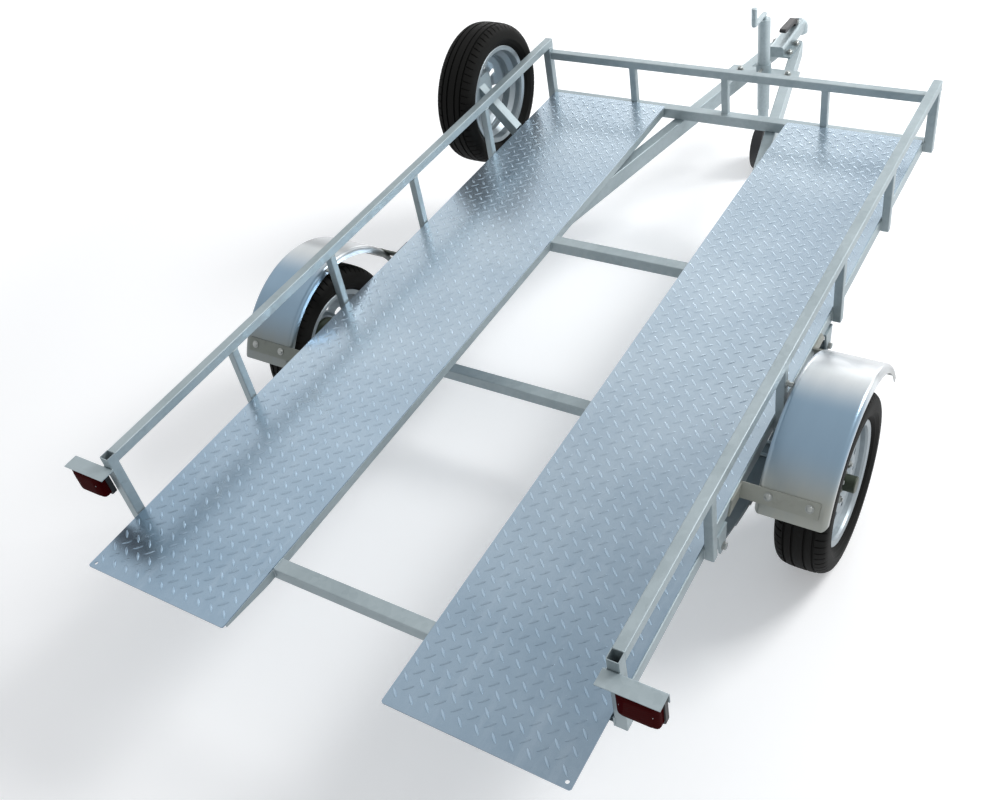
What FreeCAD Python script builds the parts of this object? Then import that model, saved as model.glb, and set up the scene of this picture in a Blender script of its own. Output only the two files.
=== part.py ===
import FreeCAD, Part
import math
import os

# Two-track flatbed trailer with one axle. Millimetres, +Z up, +Y towards the
# drawbar, +X to the right of a person looking forward.
# The shapes are drawn from the rear edge of the track plates (y = 0) and moved
# back by half the length on export, so the origin is on the ground, in the
# middle of the length and of the width.

os.makedirs("parts", exist_ok=True)

V = FreeCAD.Vector
X_AXIS = V(1, 0, 0)
Y_AXIS = V(0, 1, 0)
Z_AXIS = V(0, 0, 1)

# Deck
plate_width = 480.0
plate_gap = 480.0
plate_length = 2625.0
plate_thick = 4.0
deck_top = 468.0
plate_hole_r = 5.0
plate_hole_inset = 15.0
plate_corner = 7.0

# Frame tubes
tube_corner = 3.0
beam_size = 40.0
beam_wall = 2.5
inner_beam_size = 30.0
inner_beam_wall = 2.0
beam_ledge = 4.0
lip_setback = 12.0
lip_height = 9.0
cross_size = 40.0
cross_wall = 2.5
rear_cross_y = 218.0
mid_cross_y = 1712.0
front_cross_y = 2635.0

# Rails and posts
rail_size = 30.0
rail_wall = 2.0
rail_top = 680.0
front_rail_drop = 14.0
post_size = 25.0
post_wall = 2.0
rear_post_y = 206.0
post_first_y = 697.0
post_pitch = 481.0
post_count = 4
front_post_x = 372.0

# Running gear
wheel_y = 1197.0
wheel_x = 871.0
tyre_r = 260.0
tyre_half_width = 71.0
tyre_wall = 9.0
rim_half_width = 58.0
rim_flange_r = 182.0
rim_seat_r = 165.0
rim_well_r = 148.0
rim_well_from = -12.0
rim_well_to = 18.0
rim_sheet = 3.5
disc_face = 30.0
disc_edge_from = 8.0
disc_edge_gap = 0.2
disc_crown_r = 94.0
disc_crown_rise = 8.0
window_count = 10
window_low_r = 87.0
window_high_r = 119.0
window_low_half = 9.5
window_high_half = 11.5
window_corner = 7.0
stud_count = 4
stud_pitch_r = 50.0
stud_hole_r = 6.5
stud_play = 0.5
stud_length = 18.0
hub_bore_r = 30.0
hub_flange_r = 66.0
hub_flange_thick = 9.0
hub_barrel_r = 34.0
hub_length = 62.0
spigot_length = 14.0
cap_r = 24.0
cap_reach = 48.0
spindle_play = 0.05
spindle_root = 30.0
spindle_end_gap = 2.0
axle_size = 40.0
axle_wall = 4.0
axle_half_length = 742.0
spindle_r = 17.5
spring_width = 40.0
leaf_thick = 7.0
leaf_count = 3
spring_eye_span = 820.0
spring_eye_r = 13.0
spring_pin_r = 7.0
spring_eye_rise = 66.0
spring_eye_lift = 4.0
hanger_thick = 6.0
clamp_rise = 0.4
clamp_plate = 6.0
clamp_margin = 14.0
u_bolt_r = 5.0
u_bolt_tail = 18.0
hanger_low_half = 16.0
hanger_high_half = 28.0
pin_reach = 10.0

# Mudguards
guard_r = 338.0
guard_sheet = 2.0
guard_inner_x = 768.0
guard_outer_x = 954.0
guard_end_angle = 24.4
guard_shoulder = 14.0
guard_lip = 24.0
guard_corner = 24.0
bar_thick = 5.0
bar_low_z = 426.0
bar_high_z = 462.0
bar_reach_x = 930.0
bar_leg = 72.0

# Tail lamps
shelf_inner_reach = 7.0
shelf_outer_reach = 108.0
shelf_depth = 45.0
shelf_top = 648.0
shelf_sheet = 2.5
shelf_lip = 32.0
lamp_width = 106.0
lamp_height = 92.0
lamp_base_depth = 14.0
lens_depth = 26.0
lens_inset = 4.0
lamp_inset = 4.0
lamp_corner = 8.0
lens_edge = 5.0

# Spare wheel
spare_y = 2330.0
spare_z = 600.0
spare_x = -843.0
spare_tube = 40.0
spare_plate = 6.0
spare_plate_half = 62.0
spare_stud_length = 20.0

# Drawbar, coupling and front support wheel
arm_height = 60.0
arm_width = 40.0
arm_wall = 3.0
arm_rear_y = 1688.0
arm_rear_x = 364.0
arm_front_x = 40.0
ball_y = 3450.0
ball_z = 430.0
ball_r = 25.5
head_r = 38.0
coupling_reach = 120.0
coupling_seat = 150.0
coupling_flange_half = 58.0
coupling_flange = 6.0
coupling_half = 31.0
coupling_height = 44.0
coupling_sheet = 4.0
socket_depth = 22.0
lever_half = 13.0
lever_length = 162.0
lever_thick = 16.0
lever_rise = 24.0
support_setback = 290.0
support_tube_r = 24.0
support_tube_wall = 3.0
support_tube_low = 270.0
support_tube_top = 650.0
support_play = 0.2
collar_height = 66.0
collar_wall = 5.0
bracket_half = 150.0
bracket_depth = 34.0
bracket_sheet = 6.0
support_wheel_r = 100.0
support_wheel_width = 44.0
support_axle_r = 8.0
fork_sheet = 4.0
fork_half_depth = 22.0
fork_gap = 3.0
crank_reach = 108.0
crank_grip_r = 11.0
crank_grip_length = 66.0

# Levels that follow from the sizes above
plate_inner = plate_gap / 2.0
plate_outer = plate_inner + plate_width
frame_top = deck_top - plate_thick
frame_low = frame_top - beam_size
beam_out = plate_outer + beam_ledge
beam_in = beam_out - beam_size
rail_out = beam_out + rail_size
rail_low = rail_top - rail_size
front_rail_top = rail_low - front_rail_drop
front_rail_low = front_rail_top - rail_size
rear_cross_back = rear_cross_y - cross_size / 2.0
front_cross_back = front_cross_y - cross_size / 2.0
front_cross_front = front_cross_y + cross_size / 2.0
rear_post_face = rear_post_y - rail_size / 2.0
shelf_inner_x = beam_out - shelf_inner_reach
shelf_outer_x = rail_out + shelf_outer_reach
arm_front_y = ball_y - coupling_reach
support_y = arm_front_y - support_setback
axle_z = tyre_r
total_length = ball_y + head_r
origin_y = total_length / 2.0

written = []


def box(x0, x1, y0, y1, z0, z1):
    """Block between two corners."""
    return Part.makeBox(x1 - x0, y1 - y0, z1 - z0, V(x0, y0, z0))


def round_long_edges(shape, axis, radius):
    """Round the edges of a bar that run along its length."""
    edges = []
    for edge in shape.Edges:
        run = edge.Vertexes[-1].Point.sub(edge.Vertexes[0].Point)
        if run.Length > 1e-6 and abs(abs(run.dot(axis)) / run.Length - 1.0) < 1e-6:
            edges.append(edge)
    return shape.makeFillet(radius, edges)


def tube(axis, x0, x1, y0, y1, z0, z1, wall, corner=tube_corner):
    """Square tube with open ends and rounded corners along X, Y or Z."""
    outer = round_long_edges(box(x0, x1, y0, y1, z0, z1), axis, corner)
    in_x = -1.0 if axis.x else wall
    in_y = -1.0 if axis.y else wall
    in_z = -1.0 if axis.z else wall
    bore = box(x0 + in_x, x1 - in_x, y0 + in_y, y1 - in_y, z0 + in_z, z1 - in_z)
    return outer.cut(bore)


def cylinder(radius, length, start, axis):
    """Round bar from a start point along an axis."""
    return Part.makeCylinder(radius, length, start, axis)


def plate_from(points, direction):
    """Flat piece with a straight-sided outline, extruded along a vector."""
    face = Part.Face(Part.makePolygon(points + [points[0]]))
    return face.extrude(direction)


def outline(place, start, steps):
    """Closed wire from a start point: a step is the next corner as two
    numbers, or a point on an arc and its end as four."""
    first = place(*start)
    at = first
    edges = []
    for step in steps:
        end = place(*step[-2:])
        if len(step) == 2:
            edges.append(Part.makeLine(at, end))
        else:
            edges.append(Part.Arc(at, place(*step[:2]), end).toShape())
        at = end
    if at.sub(first).Length > 1e-6:
        edges.append(Part.makeLine(at, first))
    return Part.Wire(edges)


def turned(centre, start, steps, outward=1, angle=360.0):
    """Ring turned about the X direction from an outline of offset and radius,
    with its offsets on the outward side."""
    wire = outline(lambda u, r: V(centre.x + outward * u, centre.y, centre.z + r), start, steps)
    return Part.Face(wire).revolve(centre, X_AXIS, angle)


def arc_middle(u, r, radius, angle):
    """Point of a circle about an outline's own point, angle up from +u."""
    turn = math.radians(angle)
    return (u + radius * math.cos(turn), r + radius * math.sin(turn))


def around(centre, pitch_r, count):
    """Places of a bolt circle in a plane across the X direction, and their turns."""
    places = []
    for index in range(count):
        turn = 2 * math.pi * (index + 0.5) / count
        spot = V(centre.x, centre.y + pitch_r * math.cos(turn), centre.z + pitch_r * math.sin(turn))
        places.append((spot, turn))
    return places


def fused(shapes):
    """One shape out of several that touch or overlap."""
    whole = shapes[0]
    for shape in shapes[1:]:
        whole = whole.fuse(shape)
    return whole.removeSplitter()


def mirrored(shape):
    """Copy on the other side of the trailer."""
    return shape.mirror(V(0, 0, 0), X_AXIS)


def save(name, shape):
    """Move a piece to the trailer's own origin and write it."""
    moved = shape.copy()
    moved.translate(V(0, -origin_y, 0))
    moved.exportStep("parts/" + name + ".step")
    written.append(name)


def save_pair(name, right):
    """Write a piece for the right side and its mirror for the left."""
    save(name + "_right", right)
    save(name + "_left", mirrored(right))


def track_plate():
    """Chequer plate of the right wheel track, with a hole in its rear corner."""
    plate = box(plate_inner, plate_outer, 0, plate_length, frame_top, deck_top)
    plate = round_long_edges(plate, Z_AXIS, plate_corner)
    hole = cylinder(plate_hole_r, plate_thick + 2,
                    V(plate_outer - plate_hole_inset, plate_hole_inset, frame_top - 1), Z_AXIS)
    return plate.cut(hole)


def outer_beam():
    """Side member under the outer edge of the plate."""
    return tube(Y_AXIS, beam_in, beam_out, rear_cross_back, front_cross_back,
                frame_low, frame_top, beam_wall)


def inner_beam():
    """Side member under the inner edge, tapered to nothing at the rear lip."""
    low = frame_top - inner_beam_size
    beam = tube(Y_AXIS, plate_inner, plate_inner + inner_beam_size, lip_setback,
                front_cross_back, low, frame_top, inner_beam_wall)
    wedge = plate_from([V(plate_inner - 1, lip_setback - 1, low - 1),
                        V(plate_inner - 1, rear_cross_back - lip_height, low - 1),
                        V(plate_inner - 1, lip_setback - 1, frame_top - lip_height)],
                       V(inner_beam_size + 2, 0, 0))
    return beam.cut(wedge)


def crossbar(centre_y, half_length):
    """Cross tube, notched where the inner side members pass over it."""
    bar = tube(X_AXIS, -half_length, half_length, centre_y - cross_size / 2.0,
               centre_y + cross_size / 2.0, frame_low, frame_top, cross_wall)
    if centre_y > front_cross_back:
        return bar
    for side in (-1, 1):
        near = side * plate_inner
        far = side * (plate_inner + inner_beam_size)
        notch = box(min(near, far), max(near, far), centre_y - cross_size,
                    centre_y + cross_size, frame_top - inner_beam_size, frame_top + 1)
        bar = bar.cut(notch)
    return bar


def side_posts():
    """Posts between the side member and the handrail."""
    posts = []
    for index in range(post_count):
        y = post_first_y + index * post_pitch
        posts.append(tube(Z_AXIS, beam_out, beam_out + post_size, y - post_size / 2.0,
                          y + post_size / 2.0, frame_low, rail_low, post_wall))
    return Part.makeCompound(posts)


def rear_post():
    """Open-topped end post, level with the top of the handrail."""
    return tube(Z_AXIS, beam_out, rail_out, rear_post_face, rear_post_face + rail_size,
                frame_low, rail_top, rail_wall)


def corner_post():
    """Front corner post, from the front crossbar up to the handrail."""
    return tube(Z_AXIS, beam_out, rail_out, front_cross_front - rail_size,
                front_cross_front, frame_low, rail_low, rail_wall)


def side_rail():
    """Handrail from the rear post over the front corner post."""
    return tube(Y_AXIS, beam_out, rail_out, rear_post_face + rail_size, front_cross_front,
                rail_low, rail_top, rail_wall)


def front_rail():
    """Front rail between the corner posts, lower than the handrails."""
    return tube(X_AXIS, -beam_out, beam_out, front_cross_front - rail_size,
                front_cross_front, front_rail_low, front_rail_top, rail_wall)


def front_posts():
    """Three posts standing on the front crossbar."""
    posts = []
    middle = front_cross_front - rail_size / 2.0
    for x in (-front_post_x, 0.0, front_post_x):
        posts.append(tube(Z_AXIS, x - post_size / 2.0, x + post_size / 2.0,
                          middle - post_size / 2.0, middle + post_size / 2.0,
                          frame_top, front_rail_low, post_wall))
    return Part.makeCompound(posts)


def guard_profile():
    """Section of the mudguard sheet: flat crown, round shoulders, side lips."""
    half = (guard_outer_x - guard_inner_x) / 2.0
    b = guard_shoulder
    t = guard_sheet
    top = guard_r
    low = guard_r - guard_lip
    slant = 45.0
    steps = [(half - b, top), (*arc_middle(half - b, top - b, b, slant), half, top - b),
             (half, low), (half - t, low), (half - t, top - b),
             (*arc_middle(half - b, top - b, b - t, slant), half - b, top - t), (b - half, top - t),
             (*arc_middle(b - half, top - b, b - t, 180.0 - slant), t - half, top - b),
             (t - half, low), (-half, low), (-half, top - b),
             (*arc_middle(b - half, top - b, b, 180.0 - slant), b - half, top)]
    return (b - half, top), steps


def corner_cutter(side):
    """What lies outside the rounded corner of a guard's end, at the top of the
    wheel, with the end towards the rear."""
    inset = guard_corner - guard_sheet
    edge_x = side * (guard_outer_x - guard_inner_x) / 2.0
    core_x = edge_x - side * inset
    far_x = edge_x + side * guard_corner
    low = guard_r - guard_lip - guard_corner
    block = box(min(core_x, far_x), max(core_x, far_x), -guard_corner, inset,
                low, guard_r + guard_corner)
    core = cylinder(guard_corner, guard_r, V(core_x, inset, low), Z_AXIS)
    return block.cut(core)


def mudguard():
    """Arched guard with round shoulders, side lips and rounded end corners."""
    middle = V((guard_inner_x + guard_outer_x) / 2.0, wheel_y, axle_z)
    start, steps = guard_profile()
    sweep = 180.0 - 2 * guard_end_angle
    guard = turned(middle, start, steps, 1, sweep)
    guard.rotate(middle, X_AXIS, -sweep / 2.0)
    for side in (-1, 1):
        rear = corner_cutter(side)
        rear.rotate(V(0, 0, 0), X_AXIS, sweep / 2.0)
        rear.translate(middle)
        guard = guard.cut(rear).cut(rear.mirror(middle, Y_AXIS))
    return guard


def guard_bar():
    """Flat bar across the guard's end, bent onto the side member's face."""
    low_y = wheel_y - math.sqrt(guard_r ** 2 - (bar_low_z - axle_z) ** 2)
    high_y = wheel_y - math.sqrt(guard_r ** 2 - (bar_high_z - axle_z) ** 2)
    slope = V(0, high_y - low_y, bar_high_z - bar_low_z)
    slope.normalize()
    out = V(0, -slope.z, slope.y)
    low_in = V(beam_out, low_y, bar_low_z)
    high_in = V(beam_out, high_y, bar_high_z)
    low_out = low_in + out * bar_thick
    high_out = high_in + out * bar_thick
    bar = plate_from([low_in, high_in, high_out, low_out], V(bar_reach_x - beam_out, 0, 0))
    leg = plate_from([low_in, high_in, high_in - V(0, bar_leg, 0), low_in - V(0, bar_leg, 0)],
                     V(bar_thick, 0, 0))
    tyre_side = cylinder(guard_r, bar_reach_x, V(guard_inner_x, wheel_y, axle_z), X_AXIS)
    return fused([bar, leg]).cut(tyre_side)


def guard_bars():
    """Rear and front bars of one guard."""
    rear = guard_bar()
    front = rear.mirror(V(0, wheel_y, 0), Y_AXIS)
    return Part.makeCompound([rear, front])


def lamp_shelf():
    """Folded shelf behind the rear post that shades the tail lamp."""
    front = rear_post_face
    back = front - shelf_depth
    low = shelf_top - shelf_lip
    t = shelf_sheet
    bend = 2 * t
    slant = math.sqrt(0.5)
    wire = outline(lambda y, z: V(shelf_inner_x, y, z), (back, shelf_top), [
        (front - bend, shelf_top),
        (front - bend + bend * slant, shelf_top - bend + bend * slant, front, shelf_top - bend),
        (front, low), (front - t, low), (front - t, shelf_top - bend),
        (front - bend + t * slant, shelf_top - bend + t * slant, front - bend, shelf_top - t),
        (back, shelf_top - t)])
    return Part.Face(wire).extrude(V(shelf_outer_x - shelf_inner_x, 0, 0))


def lamp_base():
    """Back half of the tail lamp."""
    front = rear_post_face - shelf_sheet
    z1 = shelf_top - shelf_sheet * 2
    x1 = shelf_outer_x - lamp_inset
    body = box(x1 - lamp_width, x1, front - lamp_base_depth, front, z1 - lamp_height, z1)
    return round_long_edges(body, Y_AXIS, lamp_corner)


def lamp_lens():
    """Red lens with rounded front edges."""
    back = rear_post_face - shelf_sheet - lamp_base_depth
    z1 = shelf_top - shelf_sheet * 2
    x1 = shelf_outer_x - lamp_inset
    body = box(x1 - lamp_width + lens_inset, x1 - lens_inset, back - lens_depth, back,
               z1 - lamp_height + lens_inset, z1 - lens_inset / 2.0)
    body = round_long_edges(body, Y_AXIS, lamp_corner)
    rim = [edge for edge in body.Edges
           if abs(edge.BoundBox.YMax - (back - lens_depth)) < 1e-6]
    return body.makeFillet(lens_edge, rim)


def tyre(centre):
    """Tyre carcass as a hollow ring with a rounded crown and bulging sides."""
    w = tyre_half_width
    r = tyre_r
    t = tyre_wall
    h = rim_half_width
    f = rim_flange_r
    s = rim_seat_r
    belly = (r + s) / 2.0
    e = w * 0.82
    shoulder = r - 8.0
    steps = [(w * 0.5, r - 1.5, e, shoulder), (w * 0.95, r - 18.0, w, belly),
             (w - 3, (belly + f) / 2.0, h - 2, f + 2), (h - 7.5, f - 3), (h - 8.4, s + 3),
             (h - 11.3, s), (h - 20, s), (h - 17, s + 14),
             (w - t, belly - 16, w - t, belly + 6), (e - 4, shoulder - t - 3),
             (0, r - t - 1, 4 - e, shoulder - t - 3), (t - w, belly + 6),
             (t - w, belly - 16, 17 - h, s + 14), (20 - h, s), (11.3 - h, s),
             (8.4 - h, s + 3), (7.5 - h, f - 3), (2 - h, f + 2),
             (3 - w, (belly + f) / 2.0, -w, belly),
             (-w * 0.95, r - 18.0, -e, shoulder), (-w * 0.5, r - 1.5, 0, r)]
    return turned(centre, (0, r), steps)


def rim(centre, outward):
    """Rolled rim: two flanges, two bead seats and a drop centre nearer the face."""
    h = rim_half_width
    t = rim_sheet
    f = rim_flange_r
    s = rim_seat_r
    w = rim_well_r
    a = rim_well_from
    b = rim_well_to
    run = s - w
    steps = [(-h + 3, f - 1, -h + 6, f - 6), (-h + 8, s + 3), (-h + 11, s), (a - run, s - 1), (a, w),
             (b, w), (b + run, s - 1), (h - 11, s), (h - 8, s + 3), (h - 6, f - 6),
             (h - 3, f - 1, h, f - 3), (h - 3, s - 1), (h - 10, s - t), (b + run, s - t - 1),
             (b + 1, w - t), (a - 1, w - t), (a - run, s - t - 1), (-h + 10, s - t), (-h + 3, s - 1)]
    return turned(centre, (-h, f - 3), steps, outward)


def wheel_disc(centre, outward):
    """Pressed disc: rolled edge in the drop centre, raised crown with windows,
    flat bolt face and hub bore."""
    t = rim_sheet
    edge = rim_well_r - t - disc_edge_gap
    e = disc_edge_from
    d = disc_face
    crown = d + disc_crown_rise
    r = disc_crown_r
    b = rim_well_to
    steps = [(b - 4, edge), (b + 2, edge - 2, b + 4, edge - 7), (d + 2, window_high_r + 4),
             (crown, r + 16), (crown + 1.5, r, crown, r - 14), (d, hub_flange_r + 4),
             (d, hub_bore_r), (d - t, hub_bore_r), (d - t, hub_flange_r + 5),
             (crown - t, r - 12), (crown - t + 1.5, r, crown - t, r + 14),
             (d + 2 - t, window_high_r + 2), (b + 4 - t, edge - 9),
             (b + 0.5 - t, edge - t - 1.5, b - 6, edge - t), (e, edge - t)]
    disc = turned(centre, (e, edge), steps, outward)
    for spot, turn in around(centre, 0.0, window_count):
        window = plate_from([V(spot.x - 2 * r, spot.y + window_low_r, spot.z - window_low_half),
                             V(spot.x - 2 * r, spot.y + window_high_r, spot.z - window_high_half),
                             V(spot.x - 2 * r, spot.y + window_high_r, spot.z + window_high_half),
                             V(spot.x - 2 * r, spot.y + window_low_r, spot.z + window_low_half)],
                            V(4 * r, 0, 0))
        window = round_long_edges(window, X_AXIS, window_corner)
        window.rotate(centre, X_AXIS, math.degrees(turn))
        disc = disc.cut(window)
    for spot, turn in around(centre, stud_pitch_r, stud_count):
        disc = disc.cut(cylinder(stud_hole_r, 4 * r, spot - X_AXIS * (2 * r), X_AXIS))
    return disc


def hub():
    """Wheel hub with its flange, barrel, spigot, studs and grease cap."""
    c = V(wheel_x, wheel_y, axle_z)
    face = disc_face - rim_sheet
    bore = spindle_r + spindle_play
    spigot = hub_bore_r - stud_play
    body = turned(c, (face, bore), [
        (face, hub_flange_r), (face - hub_flange_thick, hub_flange_r),
        (face - hub_flange_thick - 3, hub_barrel_r + 4), (face - hub_flange_thick - 8, hub_barrel_r),
        (face - hub_length + 10, hub_barrel_r), (face - hub_length, hub_barrel_r + 3),
        (face - hub_length, bore)])
    nose = turned(c, (face, 0.01), [
        (face, spigot), (face + spigot_length, spigot), (face + spigot_length + 2, cap_r),
        (face + cap_reach - 5, cap_r), (face + cap_reach - 1, cap_r - 1, face + cap_reach, cap_r - 5),
        (face + cap_reach, 0.01)])
    studs = []
    for spot, turn in around(c + X_AXIS * face, stud_pitch_r, stud_count):
        studs.append(cylinder(stud_hole_r - stud_play, stud_length, spot, X_AXIS))
    return fused([body, nose] + studs)


def axle_beam():
    """Straight square axle with a turned spindle at each end."""
    half = axle_size / 2.0
    beam = tube(X_AXIS, -axle_half_length, axle_half_length, wheel_y - half, wheel_y + half,
                axle_z - half, axle_z + half, axle_wall)
    ends = []
    reach = wheel_x + disc_face - rim_sheet - spindle_end_gap
    inner_half = half - axle_wall
    root = axle_half_length - spindle_root
    for side in (-1, 1):
        ends.append(box(min(side * root, side * axle_half_length),
                        max(side * root, side * axle_half_length), wheel_y - inner_half,
                        wheel_y + inner_half, axle_z - inner_half, axle_z + inner_half))
        ends.append(cylinder(spindle_r, reach - root, V(side * root, wheel_y, axle_z),
                             X_AXIS * side))
    return fused([beam] + ends)


def leaf(index, half_span):
    """One curved leaf, its top one carrying the eyes."""
    seat = axle_z + axle_size / 2.0
    rise = spring_eye_rise
    span = spring_eye_span / 2.0
    radius = (span ** 2 + rise ** 2) / (2 * rise)
    low = seat + index * leaf_thick
    centre_z = low + radius
    inner_r = radius - leaf_thick
    turn = math.asin(half_span / radius)
    x0 = beam_out - spring_width
    start = V(x0, wheel_y - radius * math.sin(turn), centre_z - radius * math.cos(turn))
    end = V(x0, wheel_y + radius * math.sin(turn), centre_z - radius * math.cos(turn))
    start_in = V(x0, wheel_y - inner_r * math.sin(turn), centre_z - inner_r * math.cos(turn))
    end_in = V(x0, wheel_y + inner_r * math.sin(turn), centre_z - inner_r * math.cos(turn))
    wire = Part.Wire([Part.Arc(start, V(x0, wheel_y, low), end).toShape(),
                      Part.makeLine(end, end_in),
                      Part.Arc(end_in, V(x0, wheel_y, low + leaf_thick), start_in).toShape(),
                      Part.makeLine(start_in, start)])
    return Part.Face(wire).extrude(V(spring_width, 0, 0))


def spring_eye_z():
    """Height of the spring eyes' centres."""
    return axle_z + axle_size / 2.0 + (leaf_count - 1) * leaf_thick + spring_eye_rise + spring_eye_lift


def leaf_spring():
    """Three-leaf spring with rolled eyes, on top of the axle."""
    leaves = []
    for index in range(leaf_count):
        half_span = spring_eye_span / 2.0 * (0.5 + 0.5 * index / (leaf_count - 1.0))
        leaves.append(leaf(index, half_span))
    x0 = beam_out - spring_width
    eyes = []
    for side in (-1, 1):
        spot = V(x0, wheel_y + side * spring_eye_span / 2.0, spring_eye_z())
        eyes.append(cylinder(spring_eye_r, spring_width, spot, X_AXIS))
    spring = fused(leaves + eyes)
    for side in (-1, 1):
        spot = V(x0 - 1, wheel_y + side * spring_eye_span / 2.0, spring_eye_z())
        spring = spring.cut(cylinder(spring_pin_r, spring_width + 2, spot, X_AXIS))
    return spring


def spring_hanger(side):
    """Two cheeks under a foot on the side member, with the pin of one eye."""
    x0 = beam_out - spring_width
    x1 = x0 - hanger_thick
    y = wheel_y + side * spring_eye_span / 2.0
    z = spring_eye_z()
    low = hanger_low_half
    high = hanger_high_half
    pieces = []
    for x in (x1, beam_out):
        pieces.append(plate_from([V(x, y - low, z - low), V(x, y + low, z - low),
                                  V(x, y + high, frame_low), V(x, y - high, frame_low)],
                                 V(hanger_thick, 0, 0)))
    pieces.append(box(x1, beam_out + hanger_thick, y - high, y + high,
                      frame_low - hanger_thick, frame_low))
    pieces.append(cylinder(spring_pin_r, spring_width + 2 * (hanger_thick + pin_reach),
                           V(x1 - pin_reach, y, z), X_AXIS))
    return fused(pieces)


def spring_hangers():
    """Rear and front hangers of one side, welded under the side member."""
    return Part.makeCompound([spring_hanger(-1), spring_hanger(1)])


def spring_clamp():
    """Saddle plate under the axle with two U-bolts over the spring."""
    half = axle_size / 2.0
    x0 = beam_out - spring_width
    low = axle_z - half
    top = axle_z + half + leaf_count * leaf_thick + clamp_rise
    r = u_bolt_r
    pieces = [box(x0 - clamp_margin, beam_out + clamp_margin, wheel_y - half - clamp_margin,
                  wheel_y + half + clamp_margin, low - clamp_plate, low)]
    for y in (wheel_y - half - r, wheel_y + half + r):
        for x in (x0 - r, beam_out + r):
            pieces.append(cylinder(r, top + r - low + u_bolt_tail, V(x, y, low - u_bolt_tail), Z_AXIS))
            pieces.append(Part.makeSphere(r, V(x, y, top + r)))
        pieces.append(cylinder(r, spring_width + 2 * r, V(x0 - r, y, top + r), X_AXIS))
    return fused(pieces)


def spare_arm():
    """Sloping carrier tube with the upright plate that the spare bolts to."""
    plate_x = spare_x - disc_face + rim_sheet
    plate_face = plate_x + spare_plate
    t = spare_tube / 2.0
    w = rail_wall
    foot = V(-beam_out, spare_y, (frame_low + frame_top) / 2.0)
    head = V(plate_face, spare_y, spare_z)
    run = head.sub(foot)
    margin = 2 * spare_tube
    outer = round_long_edges(box(-margin, run.Length + margin, -t, t, -t, t), X_AXIS, tube_corner)
    arm = outer.cut(box(-margin - 1, run.Length + margin + 1, w - t, t - w, w - t, t - w))
    arm.rotate(V(0, 0, 0), Y_AXIS, math.degrees(math.atan2(run.z, -run.x)) - 180.0)
    arm.translate(foot)
    keep = box(plate_face, -beam_out, spare_y - margin, spare_y + margin, 0, 2 * deck_top)
    h = spare_plate_half
    plate = box(plate_x, plate_face, spare_y - h, spare_y + h, spare_z - h, spare_z + h)
    plate = round_long_edges(plate, X_AXIS, stud_pitch_r / 3.0)
    studs = []
    for spot, turn in around(V(plate_x, spare_y, spare_z), stud_pitch_r, stud_count):
        studs.append(cylinder(stud_hole_r - stud_play, spare_stud_length, spot, X_AXIS * -1))
    return fused([plate, arm.common(keep)] + studs)


def drawbar_arm():
    """Converging arm that runs under the two front crossbars."""
    run = V(arm_front_x - arm_rear_x, arm_front_y - arm_rear_y, 0)
    length = run.Length
    low = frame_low - arm_height
    half = arm_width / 2.0
    outer = round_long_edges(box(-half, half, -arm_width, length + arm_width, low, frame_low),
                             Y_AXIS, arm_wall + 1)
    inner = box(arm_wall - half, half - arm_wall, -arm_width - 1, length + arm_width + 1,
                low + arm_wall, frame_low - arm_wall)
    arm = outer.cut(inner)
    turn = math.degrees(math.atan2(-run.x, run.y))
    arm.rotate(V(0, 0, 0), Z_AXIS, turn)
    arm.translate(V(arm_rear_x, arm_rear_y, 0))
    keep = box(0, beam_out, arm_rear_y, arm_front_y, low - 1, frame_low + 1)
    return arm.common(keep)


def coupling_head():
    """Ball coupling: flanged channel body with a domed socket."""
    rear = arm_front_y - coupling_seat
    low = frame_low
    top = low + coupling_height
    t = coupling_sheet
    flange = box(-coupling_flange_half, coupling_flange_half, rear, arm_front_y,
                 low, low + coupling_flange)
    body = box(-coupling_half, coupling_half, rear, ball_y - ball_r / 2.0, low, top)
    tops = [edge for edge in body.Edges
            if edge.BoundBox.ZMin > top - 1 and edge.BoundBox.YLength > head_r]
    body = body.makeFillet(3 * t, tops)
    dome = Part.makeSphere(head_r, V(0, ball_y, ball_z))
    below = box(-2 * head_r, 2 * head_r, ball_y - 2 * head_r, ball_y + 2 * head_r,
                ball_z - 2 * head_r, ball_z - 0.01)
    skirt = cylinder(head_r, socket_depth, V(0, ball_y, ball_z - socket_depth), Z_AXIS)
    head = fused([flange, body, dome.cut(below), skirt])
    hollow = box(t - coupling_half, coupling_half - t, rear + t, ball_y - head_r - 2 * t,
                 low - 1, top - t)
    socket = Part.makeSphere(ball_r, V(0, ball_y, ball_z))
    mouth = cylinder(ball_r, 2 * head_r, V(0, ball_y, ball_z - 2 * head_r), Z_AXIS)
    return head.cut(hollow).cut(socket).cut(mouth)


def coupling_handle():
    """Cranked lift handle on top of the coupling, with a rounded grip end."""
    top = frame_low + coupling_height
    front = ball_y - head_r
    rear = front - lever_length
    t = lever_thick
    z = top + lever_rise
    wire = outline(lambda y, z: V(-lever_half, y, z), (front, top), [
        (front, top + t), (front - 2 * t, top + 2 * t), (rear + t / 2.0, z + t),
        (rear, z + t / 2.0, rear + t / 2.0, z), (front - 3 * t, top + t), (front - 2 * t, top)])
    return Part.Face(wire).extrude(V(2 * lever_half, 0, 0))


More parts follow.
